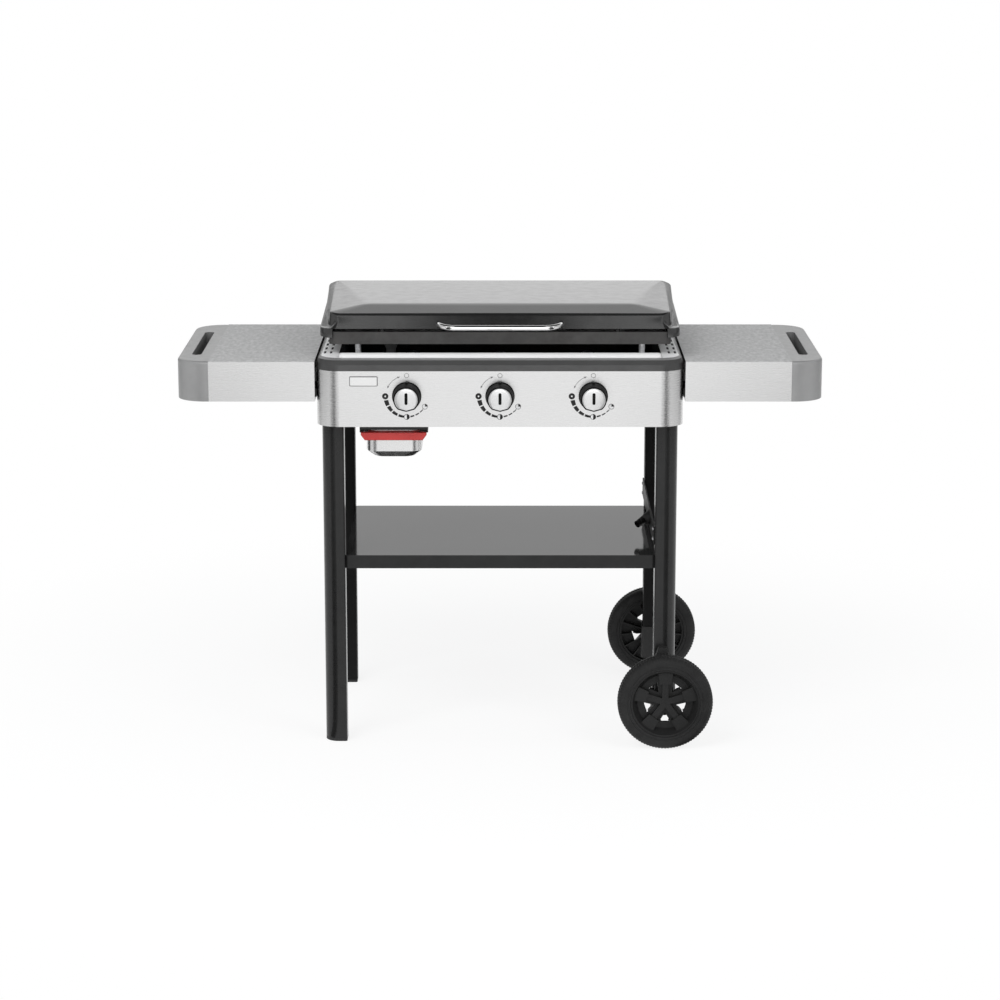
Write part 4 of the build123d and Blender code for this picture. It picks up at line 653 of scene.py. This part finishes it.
def lid_skin(inset):
    """Rings of one face of the hood, from the flat of the roof down to the lower edge."""
    columns = []
    for flat, roof, brow, haunch, rim in zip(*(lid_outline(plan, inset) for plan in (
            FLAT, ROOF, BROW, HAUNCH, EDGE))):
        side = brow[2] ** 2
        back = (brow[1] - BROW[2]) / (BROW[3] - BROW[2])
        brow_z = BROW_Z + 11.5 * back + side * (2.4 - 0.7 * back)
        haunch_z = HAUNCH_Z + 14.0 * back + side * (4.5 + 0.5 * back)
        top = Vector((flat[0], flat[1], LID_TOP_Z - inset))
        ridge = Vector((roof[0], roof[1], LID_TOP_Z - inset))
        brow = Vector((brow[0], brow[1], brow_z - inset))
        haunch = Vector((haunch[0], haunch[1], haunch_z - inset))
        edge = Vector((rim[0], rim[1], LID_EDGE_Z))
        # The front corners stand upright down to a ledge, the sides slope out
        upright = min(1.0, 3.0 * side) * max(0.0, min(1.0, 1.55 - 10.0 * back))
        foot = brow.lerp(edge, 0.12)
        haunch = haunch.lerp(Vector((foot[0], foot[1], POST_FOOT_Z - 0.4 * inset)), upright)
        # Lengths of the bends at the ridge, brow and haunch; short steps keep the faces flat
        soft = min(13.0, 0.42 * (brow - ridge).length)
        fold = 6.0 - 2.5 * side
        root = 6.5 - 3.0 * upright
        step, share = 0.8, 0.2
        crease = bent(toward(ridge, top, soft, 0.9), ridge, toward(ridge, brow, soft, 0.42))
        upper = bent(toward(brow, ridge, fold, 0.45), brow, toward(brow, haunch, fold, 0.45))
        lower = bent(toward(haunch, brow, root, 0.45), haunch, toward(haunch, edge, root, 0.4))
        columns.append([top, *crease, toward(crease[-1], brow, step, share),
                        toward(upper[0], ridge, step, share), *upper,
                        *lower, toward(lower[-1], edge, step, share),
                        toward(edge, haunch, step, share), edge])
    return [list(ring) for ring in zip(*columns)]


def lid_hood():
    """Pressed hood with a rounded shoulder, hanging side rims and a turned-in front lip."""
    rim_low, rim_end_x, rim_end_y = 888.0, 350.0, 158.0
    lip_front, lip_back, lip_t, lap = -236.6, -224.4, 1.5, 0.05
    # Section of a rim as (share of the way in, z): soft at the bottom and at the top edge
    rim = ((1.0, rim_low), (0.45, rim_low), (0.2, rim_low + 0.4), (0.05, rim_low + 1.2),
           (0.0, rim_low + 2.4), (0.0, LID_EDGE_Z - 5.2), (0.05, LID_EDGE_Z - 3.1),
           (0.17, LID_EDGE_Z - 1.5), (0.35, LID_EDGE_Z - 0.4), (0.58, LID_EDGE_Z + lap),
           (1.0, LID_EDGE_Z + lap))
    shape = Shape()
    shape.rings(lid_skin(0.0) + lid_skin(LID_SHEET)[::-1])
    for side in (-1, 1):
        rings = []
        outer, inner = lid_outline(EDGE, -RIM_OUT), lid_outline(EDGE, LID_SHEET)
        for (ox, oy, _), (ix, iy, _) in zip(outer, inner):
            if ox > rim_end_x and oy < rim_end_y:
                out, back = Vector((side * ox, oy, 0)), Vector((side * ix, iy, 0))
                rings.append([out.lerp(back, t) + Vector((0, 0, z)) for t, z in rim])
        shape.rings(rings)
    lip_z = LID_EDGE_Z + lap
    lip = ((lip_front, lip_z), (lip_back, lip_z), (lip_back, lip_z + lip_t),
           (lip_front, lip_z + lip_t))
    shape.rings([[(x, y, z) for y, z in lip] for x in (-rim_end_x, rim_end_x)])
    # The front of the rims lies where the solid has it
    shift = box_mm("lid_shell")[0][1] - min(y for x, y, z in shape.verts)
    shape.verts = [(x, y + shift, z) for x, y, z in shape.verts]
    made = shape.build("lid_hood", "lid", ["lid_enamel"])
    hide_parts("lid_shell")


HANDLE_R = 5.8


def handle_end():
    """Point on the lid wall where the right end of the rod is fixed, and the wall's normal."""
    high = box_mm("lid_handle")[1]
    wall_h, flare, cad_r, wider = 29.0, 17.0, 5.0, 1.6
    z = high[2] - cad_r
    y = box_mm("lid_shell")[0][1] + RIM_OUT + flare * (z - LID_EDGE_Z) / wall_h
    return Vector((high[0] - cad_r + wider, y, z)), Vector((0.0, -wall_h, flare)).normalized()


def handle_bow():
    """Rod of the lid handle, bent in one long sweep at each end."""
    low = box_mm("lid_handle")[0]
    fixed, wall = handle_end()
    bar_y, bar_z = low[1] + HANDLE_R, low[2] + HANDLE_R - 2.0
    sweep, pull, steps, round_steps = 36.0, 0.6, 18, 28
    stub, seat = 3.0, 0.9
    start = fixed + Vector((0, -stub, 0))
    stop = Vector((fixed.x - sweep, bar_y, bar_z))
    reach = bar_y - start.y
    first = start + Vector((0, pull * reach, 0))
    second = stop + Vector((pull * sweep, 0, 0))
    path = [fixed + Vector((0, stub, 0))]
    for i in range(steps + 1):
        t = i / steps
        path.append(start * (1 - t) ** 3 + first * 3 * t * (1 - t) ** 2
                    + second * 3 * t * t * (1 - t) + stop * t ** 3)
    path += [Vector((-p.x, p.y, p.z)) for p in reversed(path)]
    rings = []
    for i, point in enumerate(path):
        ahead = path[min(i + 1, len(path) - 1)] - path[max(i - 1, 0)]
        up = Vector((0, 0, 1))
        up = (up - ahead * (up.dot(ahead) / ahead.length_squared)).normalized()
        side = ahead.normalized().cross(up)
        turns = [2 * math.pi * k / round_steps for k in range(round_steps)]
        rings.append([point + (side * math.cos(a) + up * math.sin(a)) * HANDLE_R for a in turns])
    # The ends are cut along the wall, just under its face
    for ring in (rings[0], rings[-1]):
        for point in ring:
            point.y = fixed.y + seat - wall.z / wall.y * (point.z - fixed.z)
    shape = Shape()
    shape.rings(rings)
    made = shape.build("handle_rod", "lid", ["chrome"], 60.0)
    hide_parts("lid_handle")


def handle_shade_washers():
    """Dark washers where the handle rod meets the lid wall; their dark also paints the small
    shadows at the rod's ends.
    """
    fixed, wall = handle_end()
    shape = Shape()
    for x in (-fixed.x, fixed.x):
        shape.lathe([(6.4, -0.3), (8.8, -0.3), (8.8, 0.7), (8.0, 1.3), (6.7, 1.5), (6.4, 1.2)],
                    (x, fixed.y, fixed.z), wall, 40)
    shape.build("handle_shade_washers", "lid", ["black_plastic"])


def deck_bead():
    """Half-round bead along the front edge of the deck."""
    low, high = box_mm("front_rim")
    radius, half = 9.5, high[0] - 2.0
    y, z = low[1] + radius - 2.0, high[2]
    rings = []
    taper = ((0.0, 0.35), (2.0, 0.72), (5.0, 0.94), (9.0, 1.0))
    ends = [(d - half, share) for d, share in taper]
    ends += [(half - d, share) for d, share in reversed(taper)]
    for x, share in ends:
        ring = []
        for i in range(17):
            a = math.pi * i / 16
            ring.append((x, y - radius * share * math.cos(a), z + radius * share * math.sin(a)))
        rings.append(ring)
    shape = Shape()
    shape.rings(rings)
    shape.build("deck_bead", "cart", ["bright_steel"])


def racetrack(cx, cy, length, width, steps=10):
    """Outline of a slot that runs along Y, as (x, y) points."""
    r, straight = width / 2, (length - width) / 2
    points = []
    for end in (1, -1):
        for i in range(steps + 1):
            a = math.pi * i / steps
            points.append((cx + end * r * math.cos(a), cy + end * (straight + r * math.sin(a))))
    return points


def shade_sleeve(shape, cx, cy, length, width, z_low, z_high, wall):
    """Thin open sleeve against the wall of a slot, for the painted shade inside it."""
    play = 0.04
    outer = racetrack(cx, cy, length - 2 * play, width - 2 * play)
    inner = racetrack(cx, cy, length - 2 * wall, width - 2 * wall)
    rings = []
    for outline, z in ((outer, z_low), (outer, z_high), (inner, z_high), (inner, z_low)):
        rings.append([(x, y, z) for x, y in outline])
    shape.rings(rings, loop=True)


HAND_SLOT_L, HAND_SLOT_W, HAND_SLOT_Y, HAND_SLOT_IN = 300.0, 21.0, -20.0, 32.5
VENT_X, VENT_Y = 366.75, -191.0     # middle of a vent strip, and its first row
VENT_ROWS, VENT_PITCH, VENT_HALF = 9, 50.0, 6.5
VENT_SLOT_L, VENT_SLOT_W = 28.0, 5.0


def slot_shade_sleeves():
    """Dark sleeves that paint the shade inside the hand slots of the tables and the vent slots of
    the deck.
    """
    for side in ("left", "right"):
        low, high = box_mm(side + "_table_end_cap")
        inner_x, out = (high[0], -1) if side == "left" else (low[0], 1)
        shape = Shape()
        shade_sleeve(shape, inner_x + out * HAND_SLOT_IN, HAND_SLOT_Y, HAND_SLOT_L, HAND_SLOT_W,
              high[2] - 59.5, high[2] - 0.4, 0.8)
        shape.build(side + "_hand_slot_shade_sleeve", "cart", ["slot_painted_shade"])
        low, high = box_mm(side + "_side_vent")
        shape = Shape()
        for row in range(VENT_ROWS):
            for x in (VENT_X - VENT_HALF, VENT_X + VENT_HALF):
                shade_sleeve(shape, out * x, VENT_Y + VENT_PITCH * row, VENT_SLOT_L, VENT_SLOT_W,
                      low[2] - 3.0, high[2] + 0.03, 0.35)
        shape.build(side + "_vent_shade_sleeves", "cart", ["slot_painted_shade"])


def hook_boot():
    """Moulded boot that carries the bottle hook out from its rail."""
    high = box_mm("tank_hanger")[1]
    face_x = high[0] - HANGER_T
    start = Vector((high[0] - HANGER_T / 2, -51.0, high[2] - 20.0))
    foot_y, foot_z, neck_r, length, steps, round_steps = 20.0, 18.0, 8.5, 31.0, 8, 40
    aim = Vector((-0.74, -0.58, -0.34)).normalized()
    side = aim.cross(Vector((0, 0, 1))).normalized()
    up = side.cross(aim)
    foot = start + aim * ((face_x - start.x) / aim.x)
    rings = []
    for i in range(steps + 1):
        blend = (i / steps) ** 0.8
        ring = []
        for k in range(round_steps):
            a = 2 * math.pi * k / round_steps
            wide = foot + Vector((0, foot_y * math.cos(a), foot_z * math.sin(a)))
            tight = start + aim * length + (side * -math.cos(a) + up * math.sin(a)) * neck_r
            ring.append(wide.lerp(tight, blend))
        rings.append(ring)
    shape = Shape()
    shape.rings(rings)
    shape.build("hook_boot", "cart", ["black_plastic"])


def tray_webs():
    """Corner webs that close the tray frame behind its front."""
    low, high = box_mm("tray_frame")
    gap, width = 0.3, 16.0
    y0, y1 = low[1] + 13.05, low[1] + 36.0
    shape = Shape()
    for near, far in ((low[0] + gap, low[0] + width), (high[0] - width, high[0] - gap)):
        outline = [(near, y0), (far, y0), (far, y1), (near, y1)]
        shape.rings([[(x, y, z) for x, y in outline] for z in (high[2] - 1.9, high[2] - 0.1)])
    shape.build("tray_corner_webs", "tray", ["black_frame"])


for side in SIDES:
    dial(side)
    knob_face(side)
bare_plate()
deck_bead()
slot_shade_sleeves()
hook_boot()
tray_webs()
for which in ("front", "rear"):
    tyre(which)
screws()
lid_hood()
handle_bow()
handle_shade_washers()


# ---------------------------------------------------------------- studio, in metres
def shown_ray(tree):
    """1 for rays that see the background: camera, glossy and transmission."""
    path = tree.nodes.new("ShaderNodeLightPath")
    total = path.outputs["Is Camera Ray"]
    for name in ("Is Glossy Ray", "Is Transmission Ray"):
        either = tree.nodes.new("ShaderNodeMath")
        either.operation = "MAXIMUM"
        tree.links.new(total, either.inputs[0])
        tree.links.new(path.outputs[name], either.inputs[1])
        total = either.outputs[0]
    return total


def make_world():
    """Soft even light, and plain white where the background is seen."""
    world = bpy.data.worlds.new("studio")
    bpy.context.scene.world = world
    world.use_nodes = True
    tree = world.node_tree
    tree.nodes.clear()
    shades = []
    for colour, strength in (((0.96, 0.98, 1.0, 1.0), 0.5), ((1.0, 1.0, 1.0, 1.0), 1.0)):
        shade = tree.nodes.new("ShaderNodeBackground")
        shade.inputs["Color"].default_value = colour
        shade.inputs["Strength"].default_value = strength
        shades.append(shade)
    mix = tree.nodes.new("ShaderNodeMixShader")
    out = tree.nodes.new("ShaderNodeOutputWorld")
    tree.links.new(shown_ray(tree), mix.inputs[0])
    tree.links.new(shades[0].outputs[0], mix.inputs[1])
    tree.links.new(shades[1].outputs[0], mix.inputs[2])
    tree.links.new(mix.outputs[0], out.inputs["Surface"])


def make_floor():
    """White floor that keeps a faint shadow near the object and is plain white further out."""
    material = bpy.data.materials.new("floor_white")
    material.use_nodes = True
    tree = material.node_tree
    tree.nodes.clear()
    diffuse = tree.nodes.new("ShaderNodeBsdfDiffuse")
    diffuse.inputs["Color"].default_value = (0.88, 0.88, 0.88, 1.0)
    glow = tree.nodes.new("ShaderNodeEmission")
    place = tree.nodes.new("ShaderNodeTexCoord")
    away = tree.nodes.new("ShaderNodeVectorMath")
    away.operation = "LENGTH"
    share = tree.nodes.new("ShaderNodeMapRange")
    share.interpolation_type = "SMOOTHSTEP"
    for key, value in (("From Min", 0.6), ("From Max", 1.9), ("To Min", 0.84), ("To Max", 1.0)):
        share.inputs[key].default_value = value
    gate = tree.nodes.new("ShaderNodeMath")
    gate.operation = "MULTIPLY"
    mix = tree.nodes.new("ShaderNodeMixShader")
    out = tree.nodes.new("ShaderNodeOutputMaterial")
    tree.links.new(place.outputs["Object"], away.inputs[0])
    tree.links.new(away.outputs["Value"], share.inputs["Value"])
    tree.links.new(share.outputs[0], gate.inputs[0])
    tree.links.new(shown_ray(tree), gate.inputs[1])
    tree.links.new(gate.outputs[0], mix.inputs[0])
    tree.links.new(diffuse.outputs[0], mix.inputs[1])
    tree.links.new(glow.outputs[0], mix.inputs[2])
    tree.links.new(mix.outputs[0], out.inputs["Surface"])
    size, below = 15.0, 0.0005
    mesh = bpy.data.meshes.new("floor")
    corners = [(-size, -size, 0), (size, -size, 0), (size, size, 0), (-size, size, 0)]
    mesh.from_pydata(corners, [], [(0, 1, 2, 3)])
    mesh.materials.append(material)
    floor = bpy.data.objects.new("floor", mesh)
    floor.location.z = -below
    bpy.context.scene.collection.objects.link(floor)


def softbox(name, place, target, width, height, power, mirrored=True):
    """Area lamp; a lamp that is not mirrored lights the object without showing in its gloss."""
    light = bpy.data.lights.new(name, "AREA")
    light.shape = "RECTANGLE"
    light.size, light.size_y = width, height
    light.energy = power
    made = bpy.data.objects.new(name, light)
    made.location = place
    made.rotation_euler = (Vector(target) - Vector(place)).to_track_quat("-Z", "Y").to_euler()
    made.visible_glossy = mirrored
    bpy.context.scene.collection.objects.link(made)


def flag(name, shade, corners):
    """Grey card that only reflections see; it draws the dark lines on bright metal and enamel."""
    mesh = bpy.data.meshes.new(name)
    mesh.from_pydata(corners, [], [(0, 1, 2, 3)])
    material = bpy.data.materials.new(name)
    material.use_nodes = True
    material.node_tree.nodes.clear()
    glow = material.node_tree.nodes.new("ShaderNodeEmission")
    glow.inputs["Color"].default_value = (shade, shade, shade, 1.0)
    out = material.node_tree.nodes.new("ShaderNodeOutputMaterial")
    material.node_tree.links.new(glow.outputs[0], out.inputs["Surface"])
    mesh.materials.append(material)
    made = bpy.data.objects.new(name, mesh)
    made.visible_camera = made.visible_diffuse = made.visible_shadow = False
    bpy.context.scene.collection.objects.link(made)


make_world()
make_floor()
# Place, target, width and height of each lamp, and its power in watts
softbox("key", (-2.2, -3.4, 4.0), (0, 0, 0.6), 2.6, 2.6, 150.0, mirrored=False)
softbox("fill", (3.0, -3.4, 3.2), (0, 0, 0.6), 2.2, 2.2, 80.0, mirrored=False)
softbox("front", (0.0, -6.8, 2.9), (0, 0, 0.8), 3.0, 2.4, 38.0)
softbox("back", (0.0, 5.0, 1.9), (0, 0, 0.9), 6.0, 1.6, 6.0)
softbox("left_side", (-4.0, -0.8, 1.3), (-0.6, 0, 0.7), 2.0, 2.4, 30.0, mirrored=False)
softbox("right_side", (4.0, -0.8, 1.3), (0.6, 0, 0.7), 2.0, 2.4, 30.0, mirrored=False)


def facing_card(name, shade, x0, x1, y, z0, z1):
    """Card across the view."""
    flag(name, shade, [(x0, y, z0), (x1, y, z0), (x1, y, z1), (x0, y, z1)])


def side_card(name, shade, x, y0, y1, z0, z1):
    """Card along the view, at one side."""
    flag(name, shade, [(x, y0, z0), (x, y1, z0), (x, y1, z1), (x, y0, z1)])


def card(name, shade, half, y0, z0, y1, z1):
    """Card of one width over the object, from a near edge to a far edge."""
    flag(name, shade, [(-half, y0, z0), (half, y0, z0), (half, y1, z1), (-half, y1, z1)])


for name, x in (("left", -1), ("right", 1)):
    facing_card("flag_" + name, 0.2, 1.32 * x, 2.5 * x, -3.2, -0.4, 5.2)
    flag("flag_low_" + name, 0.01, [(0.372 * x, -0.25, 0.002), (0.40 * x, -0.235, 0.002),
                                    (3.2 * x, -3.1, 0.002), (0.9 * x, -3.1, 0.002)])
    facing_card("flag_rear_" + name, 0.42, 0.6 * x, 2.4 * x, 4.0, 0.0, 1.52)
    side_card("wall_" + name, 0.5, 3.4 * x, -3.7, 0.6, -0.5, 4.0)
    side_card("wall_back_" + name, 0.2, 3.4 * x, 0.6, 4.5, -0.5, 3.0)
card("flag_over", 0.03, 2.5, -1.3, 3.2, 1.9, 3.2)
card("flag_handle", 0.02, 0.22, -2.2, 2.3, -1.2, 3.25)

CAMERA_DOWN = 12.7  # degrees
camera = bpy.data.objects.new("camera", bpy.data.cameras.new("camera"))
camera.data.lens, camera.data.sensor_width = 103.9, 36.0
camera.location = (0.0, -6.2713, 1.8980)
camera.rotation_euler = (math.radians(90.0 - CAMERA_DOWN), 0.0, 0.0)
bpy.context.scene.collection.objects.link(camera)
bpy.context.scene.camera = camera
bpy.context.scene.view_settings.view_transform = "Standard"
